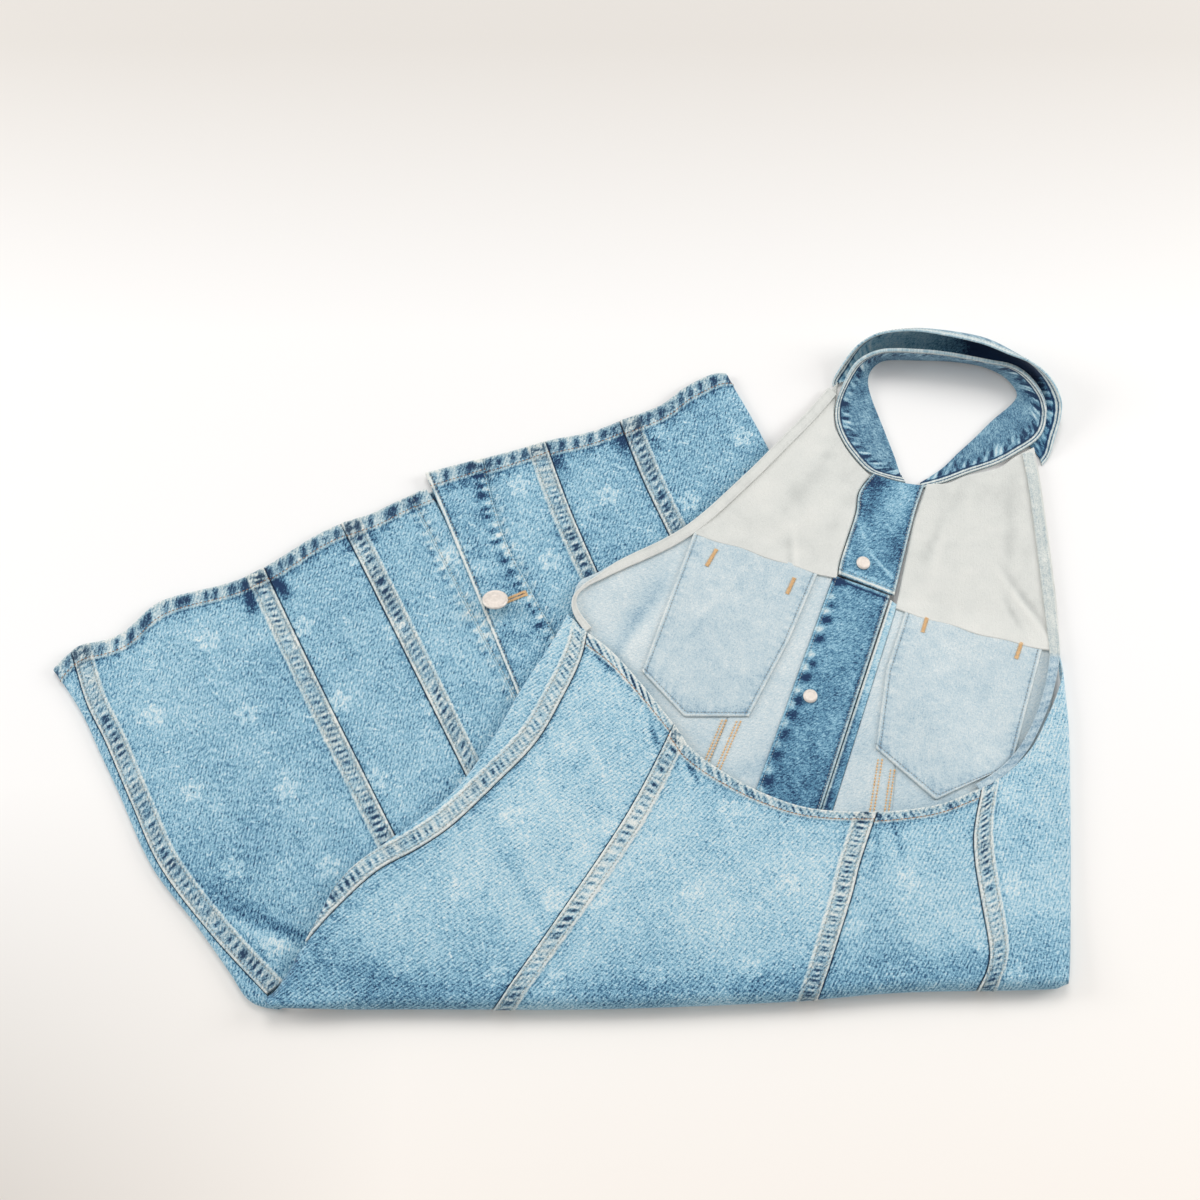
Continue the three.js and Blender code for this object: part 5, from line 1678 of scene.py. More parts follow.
ARMHOLE_LEFT = ((220, 251), (190, 222), (149, 178), (101, 134), (48, 106), (27, 94), (14, 87), (8, 72))
ARMHOLE_RIGHT = ((377, 204), (380, 173), (383, 122), (385, 72), (384, 35))
YOKE_EDGE_LEFT = ((99, 128), (120, 119.5), (140, 114), (160, 105.5), (180, 99.5), (198, 92.5), (214.2, 89))
YOKE_EDGE_RIGHT = ((259, 65), (280, 57.5), (301, 52.5), (322, 44.5), (343, 40), (364, 33.5), (384, 31))


def side_line(rows: Rows | None) -> Line | None:
    """Straight for two rows, smooth for more."""
    if rows is None:
        return None
    return spline(rows) if len(rows) > 2 else runs(rows)


@dataclass
class BodiceInside:
    """Wrong side, yokes, plackets and pocket bags seen through the back opening."""

    bag_lift: float = 1.75
    placket_wall: float = 3.2
    # Painted shade in the troughs and painted highlights on the crests of soft folds, and painted shadow
    # along the back's neckline and right armhole edge.
    folds: Sequence[Mark] = (
        Mark(112, 60, 52, 60, 4.0, -0.35), Mark(122, 74, 50, 60, 3.5, 0.4, 0.2),
        Mark(60, 62, 52, 36, 9.0, -0.5, -0.4), Mark(72, 54, 52, 34, 6.0, 0.25, 0.3),
        Mark(46, 34, 60, 24, 4.0, -0.4, -0.3), Mark(150, -62, 8, 60, 7.0, -0.35),
        Mark(60, 0, -55, 50, 6.0, -0.4), Mark(285, -92, 4, 60, 7.0, -0.35),
        Mark(365, -10, 60, 60, 6.0, -0.25),
    )
    upper_wear: Sequence[Mark] = (
        Mark(266, 158, 70, 16, 9, 0.4), Mark(239, 89.5, -21, 24, 3.0, 0.5), Mark(221, 112, 70, 9, 4, 0.55),
        Mark(252, 98, -50, 14, 1.3, 0.7, 0.3), Mark(236, 128, -72, 14, 1.2, 0.5, 0.2),
        Mark(250, 172, 0, 9, 5, -0.5), Mark(243, 150, 75, 12, 4, -0.3), Mark(262, 118, 72, 18, 4, -0.3),
    )
    # Painted shade along the yoke linings' creases, with painted highlights beside them, over their relief.
    yoke_crease_shading: Sequence[Mark] = (
        Mark(362, 72, -58, 30, 3.2, -0.45, -0.8), Mark(357, 69, -58, 28, 3.0, 0.3, 0.6),
        Mark(350, 62, -66, 16, 2.8, -0.4, -0.5), Mark(178, 108, 92, 16, 2.4, -0.2, -0.5),
        Mark(183, 108, 90, 16, 2.4, 0.3, 0.4), Mark(352, 130, 84, 50, 5.0, -0.25, -0.5),
        Mark(296, 130, 62, 46, 5.0, -0.25, -0.5), Mark(200, 180, 56, 50, 6.0, -0.2, 0.2),
        Mark(175, 130, 35, 40, 8.0, 0.2, 0.2), Mark(150, 112, 20, 40, 6.0, -0.2, 0.1),
        Mark(300, 130, 75, 40, 4.0, 0.2, 0.2), Mark(212, 130, 65, 30, 6.0, -0.15, 0.2),
    )

    def build(self, garment: Garment) -> None:
        """Makes every inside piece."""
        cord = Piped(cord=0.9, row=3.6, pale=0.75, dark=0.6)
        bag_edges = dict.fromkeys((Side.LEFT, Side.RIGHT, Side.BOTTOM), BagEdge())
        seam, lapped = Groove(depth=0.06), Lapped()
        rows = (
            ("yoke_lining_left", LINING_CLOTH, "lining", ((223, 262), *ARMHOLE_LEFT[1:3], (99, 128)),
             ((245, 179), (234.8, 164), (230.8, 144), (217.8, 106), (214.2, 89)),
             ((223, 262), (218, 228), (223, 210), (233, 193), (245, 179)), YOKE_EDGE_LEFT, 0.6, 1.8,
             {Side.RIGHT: seam, Side.BOTTOM: lapped, Side.TOP: seam}, self.yoke_crease_shading),
            ("yoke_lining_right", LINING_CLOTH, "lining",
             ((289.5, 172), (281.2, 150), (275.2, 131), (259, 65)), (*ARMHOLE_RIGHT[:4], (384, 31)),
             ((289.5, 172), (306, 173), (322, 180), (347, 187), (361, 197), (377, 206)), YOKE_EDGE_RIGHT, 0.6,
             1.8, {Side.LEFT: seam, Side.BOTTOM: lapped, Side.TOP: seam}, self.yoke_crease_shading),
            ("inner_side_front_left", WRONG_SIDE, "wrong_side",
             ((100, 131), (48, 106), (27, 94), (14, 87), (9, 72), (12, 61)), ((179, 104), (109, -68)), None,
             ((12, 61), (17, 41), (34, 21), (55, -4), (80, -38), (93, -55), (109, -68)), 0, CLOTH,
             {Side.RIGHT: seam}, self.folds),
            ("inner_centre_front_left", WRONG_SIDE, "wrong_side", ((178.6, 104), (108.6, -68)),
             ((212.2, 92.5), (146.5, -82)), None, ((108.6, -68), (125, -76), (146.5, -82)), 0.2, CLOTH,
             {Side.LEFT: seam}, self.folds),
            ("placket_facing_upper", PLACKET_DENIM, "placket_facing",
             ((247, 180), (235.5, 164), (231.5, 144), (218.5, 106), (215.5, 92.5)),
             ((287, 170), (280, 151), (274, 131), (258.5, 76)),
             ((247, 180), (259, 175.5), (272, 172), (287, 170)), None, FACING_RISE, self.placket_wall,
             {Side.LEFT: cord, Side.RIGHT: cord, Side.BOTTOM: Piped(cord=1.6, row=8.0, pale=1.3, dark=0.3)},
             self.upper_wear),
            ("placket_facing_lower", LOWER_PLACKET_DENIM, "placket_facing_dark", ((212, 91.5), (147, -80)),
             ((255, 75.5), (192, -103)), None, ((147, -80), (165, -91), (192, -103)), FACING_RISE,
             self.placket_wall, {Side.LEFT: Puckered(pitch=16.5, reach=6.5, depth=1.2), Side.RIGHT: cord,
              Side.TOP: Piped(cord=1.0, row=5.6, pale=0.2, dark=1.0)}, ()),
            ("button_band_inner", LOWER_PLACKET_DENIM, "placket_facing_dark",
             ((255.3, 72.5), (192.4, -103.4)), ((260.5, 68.6), (200.4, -105.1)), None, None, 0.8, 2.2,
             {Side.LEFT: cord}, (Mark(248, 45, 70, 70, 14, 0.85),)),
            ("inner_centre_front_right", WRONG_SIDE, "wrong_side", ((260.7, 68.6), (200.6, -105.2)),
             ((269, 67), (247, -106)), None, None, 0.2, CLOTH, {Side.RIGHT: seam}, self.folds),
            ("inner_side_front_right", WRONG_SIDE, "wrong_side", ((268.5, 66.8), (246.5, -106.2)),
             ((382.5, 33.8), (380.5, 20), (377, -3), (369, -28), (356, -52), (340, -72), (322, -87)), None,
             ((246.5, -106.2), (285, -101), (322, -87)), 0, CLOTH, {Side.LEFT: seam}, self.folds),
            ("pocket_bag_left", POCKET_CLOTH, "pocket_bag", ((104, 128.5), (62, 13)),
             ((200, 94.5), (175, 37), (143, -23)), None, ((62, 13), (94, -23), (143, -23)), self.bag_lift,
             1.3, bag_edges, self.folds),
            ("pocket_bag_right", POCKET_CLOTH, "pocket_bag", ((267.5, 66), (249, 15), (238, -48)),
             ((371.5, 35), (342, -57), (336, -62)), None, ((238, -48), (281, -88), (336, -62)), self.bag_lift,
             1.3, bag_edges, self.folds),
        )
        straight = ("pocket_bag_left", "pocket_bag_right")
        made = {}
        for i, (name, dye, slot, left, right, top, bottom, lift, wall, trims, marks) in enumerate(rows):
            line = runs if name in straight else side_line
            panel = Panel(name, BODICE, line(left), line(right), side_line(top),
                          line(bottom) if bottom else None, lift=lift, wall=wall, trims=trims, marks=marks,
                          shade=self.shade, seed=5.0 * i + 2)
            garment.piece(panel, slot, dye, Lie.LAID)
            made[name] = panel
        bag_rows = [made[name].row(side, BAG_ROW, 0, 3) for name in straight
                    for side in (Side.LEFT, Side.RIGHT, Side.BOTTOM)]
        garment.sew("pocket_rows", bag_rows, FINE_STITCH, GREY_THREAD, "pocket_bag", seed=17)
        facing_rows = [made[name].row(side, FACING_ROW, 2, 2)
                       for name in ("placket_facing_upper", "placket_facing_lower")
                       for side in (Side.LEFT, Side.RIGHT)]
        facing_rows += [made["placket_facing_upper"].row(Side.BOTTOM, 4.4, 1, 1)]
        garment.sew("placket_rows", facing_rows, FINE_STITCH, PALE_THREAD, "placket_facing", seed=19)
        tacks = [over_sheet(BODICE, [a, b], lift) for a, b, lift in (
            ((121, 113), (113, 99), 2.0), ((181, 89), (175, 76), 2.0), ((283, 58), (279, 46), 2.0),
            ((355, 38), (350, 25), 2.0))]
        garment.sew("bartacks", tacks, TACK_STITCH, GOLD_THREAD, "pocket_bag", seed=29)
        twin = [over_sheet(BODICE, [(x0 + k, y0), (x1 + k, y1)], 0.15)
                for k in (-1.5, 1.5) for x0, y0, x1, y1 in (
                    (124, -26, 109, -61), (135, -27, 117, -68), (241, -57, 233, -97), (250, -65, 244, -97))]
        garment.sew("inner_gold_rows", twin, Stitch(pitch=2.3, length=2.3, thick=1.5), GOLD_THREAD,
                    "wrong_side", seed=31)

    @staticmethod
    def shade(x: Array, y: Array) -> Array:
        """Soft painted shade under the back's neckline."""
        below = ramp(-y, -20, 110) * 0.15
        return 0.1 * mottle(x, y, 40, 21) - below


@dataclass
class ArmholeFacings:
    """Bindings inside the armholes: cream, but denim by the right neckline's end."""

    lift: float = 2.1

    def _sheet(self, x0: float, y0: float, near: float, far: float, rise: float) -> Sheet:
        """The bodice inside, climbing by `rise` near one place."""
        return Sheet(lambda x, y: bodice_height(x, y) + self.lift
                     + rise * (1 - ramp(np.hypot(x - x0, y - y0), near, far)))

    @staticmethod
    def cream(x: Array, y: Array) -> Array:
        """1 where the right binding is lining, 0 where it is washed denim, by the neckline's end."""
        return ramp(y, 24, 30)

    @staticmethod
    def shade(x: Array, y: Array) -> Array:
        """Tone of the right binding, with slanting ropes of wear in its denim part."""
        rope = pulses(0.3 * x - 0.95 * y, 5.6, 1.5, 44)
        return 0.2 - (1 - ArmholeFacings.cream(x, y)) * (0.35 + 0.45 * rope)

    def build(self, garment: Garment) -> None:
        """Makes both bindings."""
        for name, dye, path, sheet, widths in (
            ("armhole_facing_left", LINING_CLOTH,
             ((218, 253), (187, 216), (146, 172), (98, 128), (46, 100), (30, 90), (19, 83), (11.5, 75),
              (10, 67), (13, 58), (21, 46)),
             self._sheet(14, 52, 14, 50, 1.5),
             (9, 9, 9, 9, 9, 9, 9, 9, 9, 9, 9, 9, 9, 8, 4.5, 2.6, 5.0, 6.4)),
            ("armhole_facing_right", POCKET_CLOTH,
             ((371, 198), (374, 173), (377, 122), (379, 72), (380, 38), (378.5, 22), (372, -3), (362.5, -26),
              (350, -47.5), (333.5, -65), (313, -79)),
             self._sheet(350, -40, 60, 100, 2.4), (9, 9, 9, 9, 8.5, 7.5, 6.5, 6.5, 6)),
        ):
            centre = spline(path)
            edge = Piped(cord=0.8, row=1.9, pale=0.1, dark=0.22, thick=0.1)
            half = np.array(widths) / 2
            panel = Panel(name, sheet, ribbon(centre, half), ribbon(centre, -half),
                          wall=LINING, trims={Side.LEFT: edge, Side.RIGHT: edge}, cell=1.6, seed=len(name))
            if dye is POCKET_CLOTH:
                panel.worn, panel.shade = self.cream, self.shade
            garment.piece(panel, "lining", dye, Lie.LAID)


@dataclass
class UnderLayers:
    """The cloth that lies on the table under everything."""

    wall: float = 1.3
    top: float = 1.6

    def build(self, garment: Garment) -> None:
        """Makes the under layers of the skirt and of the upper half."""
        sheet = Sheet(lambda x, y: self.top + 0.12 * mottle(x, y, 24, 4))
        hem = Hem()
        rows = (
            ("skirt_under_layer",
             ((-383, 14), (-361, -17), (-344, -49), (-327, -81), (-298, -136), (-262, -178), (-235, -212),
              (-222, -228), (-200, -235)),
             ((129, 262), (146, 230), (161, 199), (205, 103), (250, 1), (298, -105), (338, -225)),
             ((-383, 14), (-371, 30), (-349, 37), (-334, 45), (-317, 62), (-300, 71), (-257, 83), (-232, 95),
              (-186, 124), (-147, 141), (-109, 163), (-66, 186), (-29, 197), (-7, 204), (19, 208), (44, 217),
              (78, 233), (97, 249), (119, 262), (129, 262)),
             ((-200, -235), (-100, -236), (30, -236), (160, -231), (250, -224), (338, -225))),
            ("upper_under_layer",
             ((302, -106), (324, -170), (344, -224)), ((372, -40), (374, -120), (364, -212)),
             ((302, -106), (350, -92), (372, -40)), ((344, -224), (356, -220), (364, -212))),
        )
        for i, (name, left, right, top, bottom) in enumerate(rows):
            trims = {Side.TOP: hem} if i == 0 else {}
            panel = Panel(name, sheet, side_line(left), side_line(right), side_line(top), side_line(bottom),
                          wall=self.wall, trims=trims, cell=4.0, seed=90.0 + i)
            obj = panel.build()
            declare(obj, "hidden_layers", "denim", garment.dyes[SKIRT_DENIM.name])
            cut = cut_of(panel.outer, panel.inner)


@dataclass
class Collar:
    """Stand sewn round the neck and the leaf that stands behind it.

    Each station is the fold-line edge, then the other edge; the leaf has its belly too.
    """

    stand: Rows = (
        (270, 179, 2.8, 272, 175.5, 2.8), (268, 185, 2.8, 260, 178.5, 2.8), (265, 197, 2.8, 246, 184, 2.8),
        (260, 213, 2.8, 236, 195, 2.8), (255, 229, 2.8, 226, 211, 2.8), (250, 244, 3.8, 221, 228, 3.8),
        (247, 257, 4.9, 223, 246, 7.5), (248, 267, 4.6, 230, 262, 13), (254, 276, 3.4, 240, 272, 21),
        (264, 281, 2.4, 258, 277, 27), (290, 281, 2.4, 287, 275, 30), (315, 280, 2.4, 311, 272, 30),
        (338, 276, 2.6, 340, 267, 28), (354, 268, 3.2, 360, 264, 25), (363, 258, 4.2, 374, 256, 21),
        (366, 249, 5, 385, 241, 15.5), (361, 241, 5.2, 387, 226, 10.5), (352, 233, 5, 380, 212, 7),
        (344, 226, 4.6, 362, 200, 5), (330, 212, 3.6, 345, 191, 3.6), (316, 199, 2.8, 323, 183.5, 2.8),
        (304, 187, 2.8, 307, 177, 2.8), (294, 179.5, 2.8, 296.5, 173.5, 2.8),
        (284.5, 173.5, 2.8, 285.5, 170.5, 2.8),
    )
    leaf: Rows = (
        (241, 256, 2, 219, 258, 2, 0), (243, 261, 2.1, 219, 263, 4.5, 1), (246, 271, 2.1, 227, 274, 12, 3),
        (251, 280, 2.1, 238, 284, 22, 5), (261, 286, 2.1, 251, 288, 33, 7), (276, 287, 2.1, 267, 288, 40, 9),
        (292, 287, 2.1, 284, 286, 44, 11), (314, 286, 2.1, 308, 281, 45, 12),
        (338, 282, 2.1, 333, 275, 44, 12), (356, 274, 2.1, 354, 268, 40, 10),
        (367, 264, 2.1, 373, 263, 34, 7), (372, 253, 2.1, 389, 253, 26, 4), (372, 241, 2.1, 398, 239, 18, 2),
        (369, 230, 2, 398, 225, 12, 1), (366, 219, 1.95, 393, 209, 7, 0), (366, 212, 1.9, 389, 197, 3, 0),
        (368, 203, 1.9, 383, 189, 1.9, 0),
    )
    across: int = 40

    def _band(self, garment: Garment, name: str, rows: Rows, wall: float, seed: float,
              taper: float = 0.0, widen: float = 0.0, worn: float = 0.3, gauge: float = 0.0,
              deep: PlaceRule = lambda s, c: 0 * s) -> list[Row]:
        """Makes one band of the collar.

        Args:
            garment: Gives the material.
            name: Node it stands for.
            rows: Its stations.
            wall: Thickness behind the face.
            seed: Picks the jitter.
            taper: Length of each tapered end.
            widen: How far its low edge moves out.
            worn: Bareness of its face.
            gauge: How much its sewn edge spreads where it is steep.
            deep: Painted light and shade, as a change of tone at shares along and across it.

        Returns:
            Its two rows of stitches.
        """
        dense = spline_points(rows, 12)
        fold, edge = dense[:, :3], dense[:, 3:6]
        if widen > 0:
            low = 1 - ramp(edge[:, 2], 5, 11)
            edge = edge + unit(edge - fold) * (widen * low)[:, None]
        belly = dense[:, 6] if dense.shape[1] > 6 else np.zeros(len(dense))
        run = np.gradient(fold, axis=0)
        out = unit(leftward(run))
        c = 1 - (1 - np.linspace(0, 1, self.across + 1)) ** 1.6
        if taper > 0:
            far = travelled(edge)
            full = ramp(np.minimum(far, far[-1] - far), -taper * 0.15, taper)[:, None]
            fold = edge + (fold - edge) * full
        grid = fold[:, None] * (1 - c)[:, None] + edge[:, None] * c[:, None]
        grid[..., :2] += out[:, None] * (belly[:, None] * np.sin(np.pi * c**0.8))[..., None]
        normal = unit(np.cross(np.gradient(grid, axis=0), np.gradient(grid, axis=1)))
        width = np.linalg.norm(np.diff(grid, axis=1), axis=-1).sum(1)
        s = np.broadcast_to(travelled(edge)[:, None], grid.shape[:2])
        d_fold, d_edge = c * width[:, None], (1 - c) * width[:, None]
        steep = np.clip((edge[:, 2] - fold[:, 2]) / width, 0, 1)[:, None]
        inside = d_edge / (1 + gauge * steep)
        lift, tone, bare = Corded().relief(inside, s, seed)
        share = s / s[-1, 0]
        tone = tone + 0.2 * mottle(s, d_fold, 12, seed)
        # Painted light and shade inside the band, kept off its corded edge.
        tone = tone + deep(share, np.broadcast_to(c, share.shape)) * ramp(inside, 4.0, 5.5)
        bare = np.clip(bare + worn, 0, 1)
        soft = np.clip(1 - np.minimum(d_fold, d_edge) / EDGE_ROUND, 0, 1)
        lift = lift - 0.5 * (1 - np.sqrt(1 - soft**2))
        face, back = grid + normal * lift[..., None], grid - normal * wall
        cut = np.stack([s, d_fold], -1) * MM
        other = np.clip(tone * 0.3 + 0.95, -1, 1)
        obj = grid_mesh(name + "_cloth", face, back, {
            "tone": np.stack([np.clip(tone, -1.2, 1.2), other]),
            "bare": np.stack([bare, np.maximum(bare, 0.6)])}, cut)
        declare(obj, name, "collar", garment.dyes[COLLAR_DENIM.name])
        size = cut_of(face, back)
        k = self.across * 3 // 4
        return [trimmed(Row(face[:, k], normal[:, k]), 8, 8),
                trimmed(Row(back[:, k], -normal[:, k]), 8, 8)]

    def build(self, garment: Garment) -> None:
        """Makes the stand, the leaf and their stitching."""
        rows = self._band(garment, "collar_stand", self.stand, 2.4, 101, widen=1.9)

        def leaf_painted_light_and_shade(s: Array, c: Array) -> Array:
            """Painted light and shade inside the leaf: paler towards its left end, where little light
            reaches, and a painted dark band near its free edge, in the shaded channel by the stand.
            """
            width = 0.13 + 0.1 * ramp(s, 0.25, 0.4) + 0.5 * ramp(s, 0.4, 0.52)
            band = ramp(s, 0.08, 0.16) * bump(c, 0.83 - 0.1 * s, width)
            return 0.6 * (1 - ramp(s, 0.24, 0.45)) - 2.4 * band * (1 - ramp(s, 0.64, 0.76))

        rows += self._band(garment, "collar_leaf", self.leaf, 1.6, 117, taper=16.0, worn=0.0, gauge=1.0,
                           deep=leaf_painted_light_and_shade)
        garment.sew("collar_rows", rows, FINE_STITCH, PALE_THREAD, "collar", seed=37)


# --- buttons


def lathe(profile: Rows, segments: int, step: float, beads: PlaceRule) -> tuple[Array, Array]:
    """A closed turned shape about Z with relief on its upward face.

    Args:
        profile: Radius and height from the top's middle to the foot's middle.
        segments: Steps round.
        step: Longest step along the profile.
        beads: Relief at radius and angle.

    Returns:
        Points and triangles or quads as rows of four indices.
    """
    line = runs(profile)
    count = max(4, int(line.length / step))
    rz = line.at(np.linspace(0, 1, count + 1))[1:-1]
    turn = np.linspace(0, 2 * math.pi, segments, endpoint=False)
    r, z = rz[:, :1], rz[:, 1:]
    top = rz[:, 1] >= np.maximum.accumulate(rz[::-1, 1])[::-1] - 1e-6
    z = z + np.where(top[:, None], beads(np.broadcast_to(r, (len(rz), segments)), turn[None, :]), 0)
    ring = np.stack([r * np.cos(turn), r * np.sin(turn), np.broadcast_to(z, (len(rz), segments))], -1)
    points = np.concatenate([ring.reshape(-1, 3), [[0, 0, profile[0][1]], [0, 0, profile[-1][1]]]])
    at = np.arange(len(rz) * segments).reshape(len(rz), segments)
    after = np.roll(at, -1, axis=1)
    quads = np.stack([at[:-1], at[1:], after[1:], after[:-1]], -1).reshape(-1, 4)
    head, foot = len(points) - 2, len(points) - 1
    tips = np.concatenate([
        np.stack([np.full(segments, head), at[0], after[0], np.full(segments, -1)], -1),
        np.stack([np.full(segments, foot), after[-1], at[-1], np.full(segments, -1)], -1)])
    return points, np.concatenate([quads, tips])


def joined(name: str, parts: Sequence[tuple[Array, Array]]) -> bpy.types.Object:
    """One object from closed shapes.

    Args:
        name: Its name.
        parts: Points in plan mm and faces of each shape.

    Returns:
        The object.
    """
    points, faces, start = [], [], 0
    for places, quads in parts:
        points.append((places - ORIGIN) * MM)
        faces += [[int(i) + start for i in quad if i >= 0] for quad in quads]
        start += len(places)
    mesh = bpy.data.meshes.new(name)
    mesh.from_pydata(np.concatenate(points).tolist(), [], faces)
    mesh.shade_smooth()
    return placed(name, mesh)


def seat(points: Array, sheet: Sheet, x: float, y: float, lift: float) -> Array:
    """Stands points on a sheet, square to the cloth.

    Args:
        points: Points about the origin.
        sheet: What they stand on.
        x, y: Plan place.
        lift: Height of the cloth over the sheet.

    Returns:
        The points in plan mm.
    """
    step = 3.0
    place = np.array([x, x + step, x - step, x, x]), np.array([y, y, y, y + step, y - step])
    h = sheet.height(*place)
    normal = unit(np.array([h[2] - h[1], h[4] - h[3], 2 * step]))
    side = unit(np.cross([0, 1, 0], normal))
    basis = np.stack([side, np.cross(normal, side), normal], -1)
    return points @ basis.T + np.array([x, y, h[0]]) + normal * (lift + SEAT)


@dataclass
class Buttons:
    """The loose shank button on the placket and the backs of two buttons inside."""

    radius: float = 10.0
    tilt: float = 25.0
    shank_radius: float = 4.0
    shank_height: float = 5.4

    def _head(self) -> tuple[Array, Array]:
        """Domed head with a raised rim and a ring of small beads."""
        profile = [(0, 3.1), (3.4, 3.0), (3.8, 3.25), (4.3, 3.0), (7.8, 2.6), (8.6, 2.95), (9.3, 2.7),
                   (10, 1.9), (10, 0.9), (8.6, 0), (0, 0)]

        def beads(r: Array, turn: Array) -> Array:
            """Ring of twelve beads between the rims, a star in the middle."""
            ring = 0.28 * bump(r, 6.1, 0.85) * np.clip(np.cos(12 * turn), 0, 1)
            return ring + 0.2 * bump(r, 1.6, 1.1) * np.clip(np.cos(5 * turn), 0, 1)

        points, faces = lathe(profile, 96, 0.3, beads)
        turn = -math.radians(self.tilt)
        cos, sin = math.cos(turn), math.sin(turn)
        spun = np.array([[1, 0, 0], [0, cos, -sin], [0, sin, cos]])
        return points @ spun.T + [0, 0, self.radius * math.sin(-turn) + 1], faces

    def build(self, garment: Garment) -> None:
        """Makes the three pieces."""
        def plain(r: Array, turn: Array) -> Array:
            """No relief."""
            return 0 * r * turn

        wide, high = self.shank_radius, self.shank_height
        shank = lathe([(0, high), (3.2, high), (wide, high - 0.6), (3.6, 2.4), (wide, 0.3), (3.8, 0), (0, 0)],
                      40, 0.5, plain)
        parts = [(seat(p, SKIRT, -51, 70, PLACKET_RISE), f) for p, f in (self._head(), shank)]
        button = joined("loose_shank_button", parts)
        declare(button, "shank_button", "button_metal", garment.dyes[BUTTON_METAL.name])
        cap = lathe([(0, 1.75), (3.0, 1.7), (3.6, 1.9), (4.4, 1.7), (5.2, 1.1), (5.5, 0.5), (5.3, 0), (0, 0)],
                    56, 0.25, plain)
        for name, x, y in (("cap_upper", 235, 102), ("cap_lower", 190, -7)):
            obj = joined(name + "_back", [(seat(cap[0], BODICE, x, y, FACING_RISE), cap[1])])
            declare(obj, name, "button_metal", garment.dyes[BUTTON_METAL.name])


# --- studio


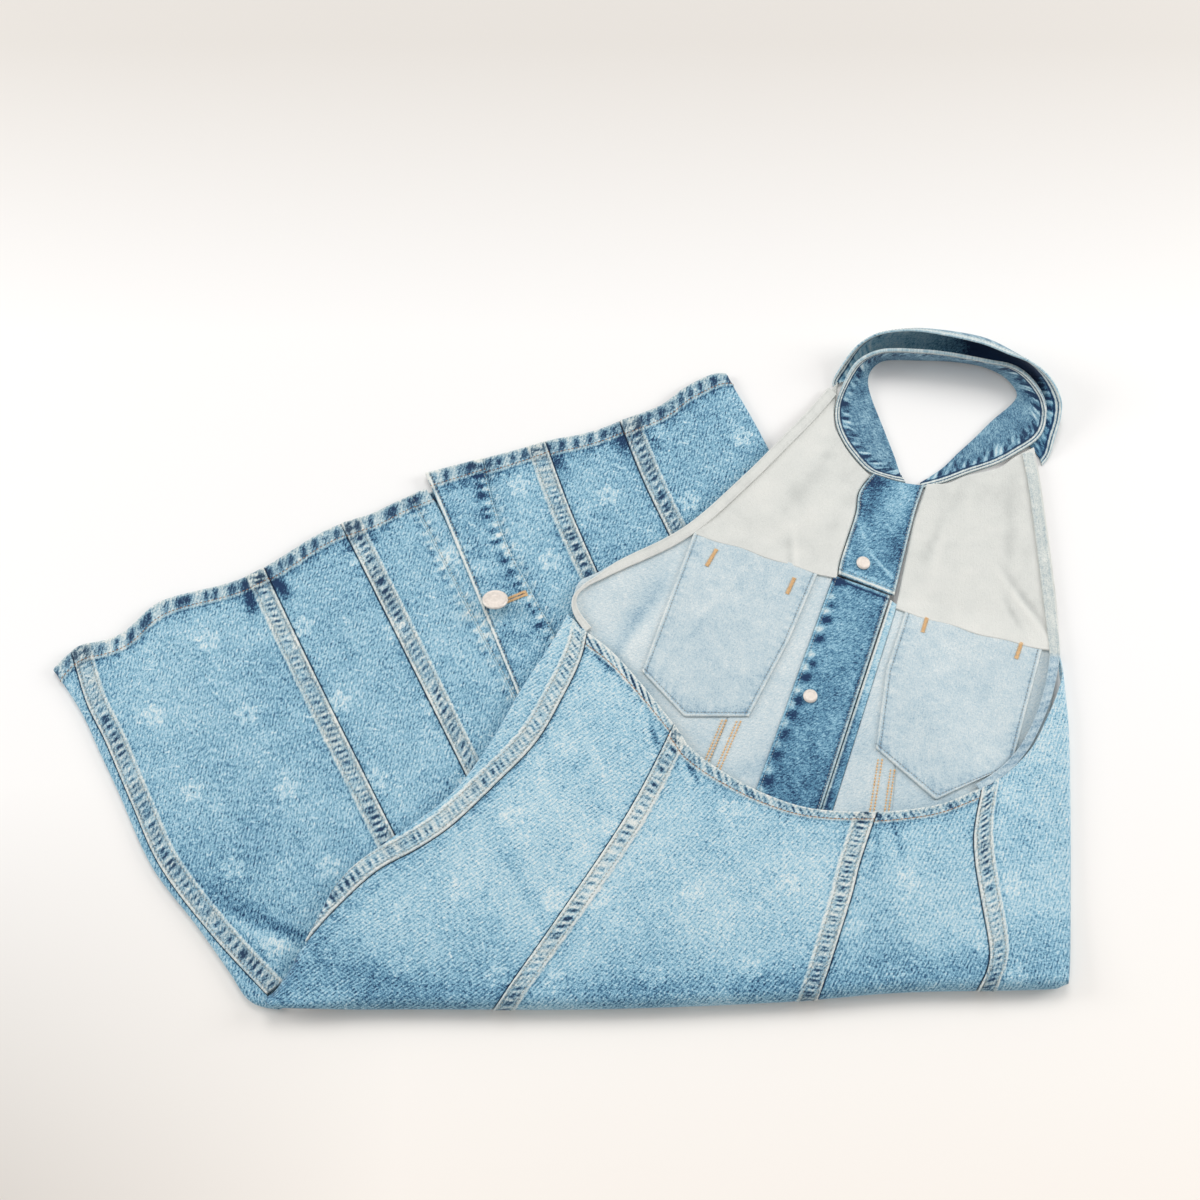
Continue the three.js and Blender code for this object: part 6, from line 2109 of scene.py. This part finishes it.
@dataclass
class Studio:
    """Pale floor with painted shade, soft light from above and the camera."""

    target: tuple[float, float, float] = (0.02561, 0.04751, 0.0)
    place: tuple[float, float, float] = (0.02561, -0.49972, 1.5035)
    view: float = 32.6
    size: float = 4.0
    # Painted shade in the floor's near left corner: how fast it darkens, and the least brightness it leaves.
    painted_corner_shade: float = 2.9
    painted_corner_least: float = 0.62

    def _floor(self) -> None:
        """A pale plane, warm near the camera and greyer far off, with painted shade: darker far off and in
        the near left corner.
        """
        half = self.size / 2
        mesh = bpy.data.meshes.new("floor")
        mesh.from_pydata([(-half, -half, 0), (half, -half, 0), (half, half, 0), (-half, half, 0)], [],
                         [(0, 1, 2, 3)])
        floor = placed("floor", mesh)
        n = Nodes("paper_with_painted_shade")
        place = n.add("ShaderNodeSeparateXYZ")
        n.link(n.add("ShaderNodeTexCoord").outputs["Object"], place.inputs[0])
        far = n.math("MULTIPLY_ADD", place.outputs[1], 0.5, 0.5)
        colour = n.ramp(far, [
            (0.2, linear(254, 243, 232)), (0.34, linear(251, 246, 240)), (0.5, linear(244, 243, 242)),
            (0.64, linear(242, 240, 238)), (0.78, linear(217, 212, 206)),
        ])
        # Painted shade: the near left corner is darkened.
        left = n.math("MAXIMUM", n.math("SUBTRACT", n.math("MULTIPLY", place.outputs[0], -1.0), 0.12), 0.0)
        low = n.math("MAXIMUM", n.math("SUBTRACT", n.math("MULTIPLY", place.outputs[1], -1.0), 0.1), 0.0)
        corner = n.math("SUBTRACT", 1.0, n.math("MULTIPLY", n.math("MULTIPLY", left, low), self.painted_corner_shade))
        corner = n.math("MAXIMUM", corner, self.painted_corner_least)
        corner_shade_mix = n.add("ShaderNodeMix", data_type="RGBA", blend_type="MULTIPLY")
        corner_shade_mix.inputs[0].default_value = 1.0
        n.link(colour, corner_shade_mix.inputs[6])
        n.link(corner, corner_shade_mix.inputs[7])
        n.link(corner_shade_mix.outputs[2], n.shader.inputs["Base Color"])
        fill(n.shader, Roughness=0.85, Specular_IOR_Level=0.1)
        mesh.materials.append(n.material)

    def _light(self, name: str, at: tuple[float, float, float], size: float, watts: float) -> None:
        """A soft square light aimed at the middle of the dress."""
        data = bpy.data.lights.new(name, "AREA")
        data.shape, data.size, data.energy = "SQUARE", size, watts
        lamp = placed(name, data)
        lamp.location, lamp.rotation_euler = at, aim(at, self.target)

    def build(self) -> None:
        """Makes the floor, lights, world and camera."""
        self._floor()
        self._light("overhead", (0.1, 1.6, 2.35), 1.4, 26.0)
        self._light("left", (-2.1, 0.5, 1.05), 1.0, 22.0)
        self._light("right", (2.1, 0.5, 1.05), 1.0, 21.0)
        world = bpy.data.worlds.new("studio")
        bpy.context.scene.world = world
        world.use_nodes = True
        sky = world.node_tree.nodes["Background"]
        fill(sky, Color=(1.0, 1.0, 1.0, 1.0), Strength=0.52)
        data = bpy.data.cameras.new("camera")
        data.sensor_fit, data.angle = "HORIZONTAL", math.radians(self.view)
        data.clip_end = 20.0
        camera = placed("camera", data)
        camera.location, camera.rotation_euler = self.place, aim(self.place, self.target)
        bpy.context.scene.camera = camera
        view = bpy.context.scene.view_settings
        view.view_transform, view.look, view.exposure, view.gamma = "Standard", "None", 0.0, 1.0


def aim(place: Sequence[float], target: Sequence[float]) -> tuple[float, float, float]:
    """Turn that points -Z from place at target with +Y of the picture up."""
    d = np.array(target) - np.array(place)
    flat = math.hypot(d[0], d[1])
    return (math.atan2(flat, -d[2]), 0.0, math.atan2(-d[0], d[1]))


def main() -> None:
    """Builds the studio and the dress in order."""
    logging.basicConfig(level=logging.INFO, format="%(message)s")
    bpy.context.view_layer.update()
    Studio().build()
    finishes = (
        SKIRT_DENIM, BACK_DENIM, PLACKET_DENIM, LOWER_PLACKET_DENIM, COLLAR_DENIM, WRONG_SIDE, POCKET_CLOTH,
        LINING_CLOTH, BUTTON_METAL, GOLD_THREAD, TAN_THREAD, GREY_THREAD, PALE_THREAD, BLUE_THREAD,
    )
    garment = Garment({finish.name: finish.material() for finish in finishes}, StitchRows())
    parts = (UnderLayers(), SkirtFront(), UpperBack(), BodiceInside(), ArmholeFacings(), Collar(), Buttons())
    for part in parts:
        LOG.info("== %s", type(part).__name__)
        part.build(garment)


if __name__ == "__main__":
    main()
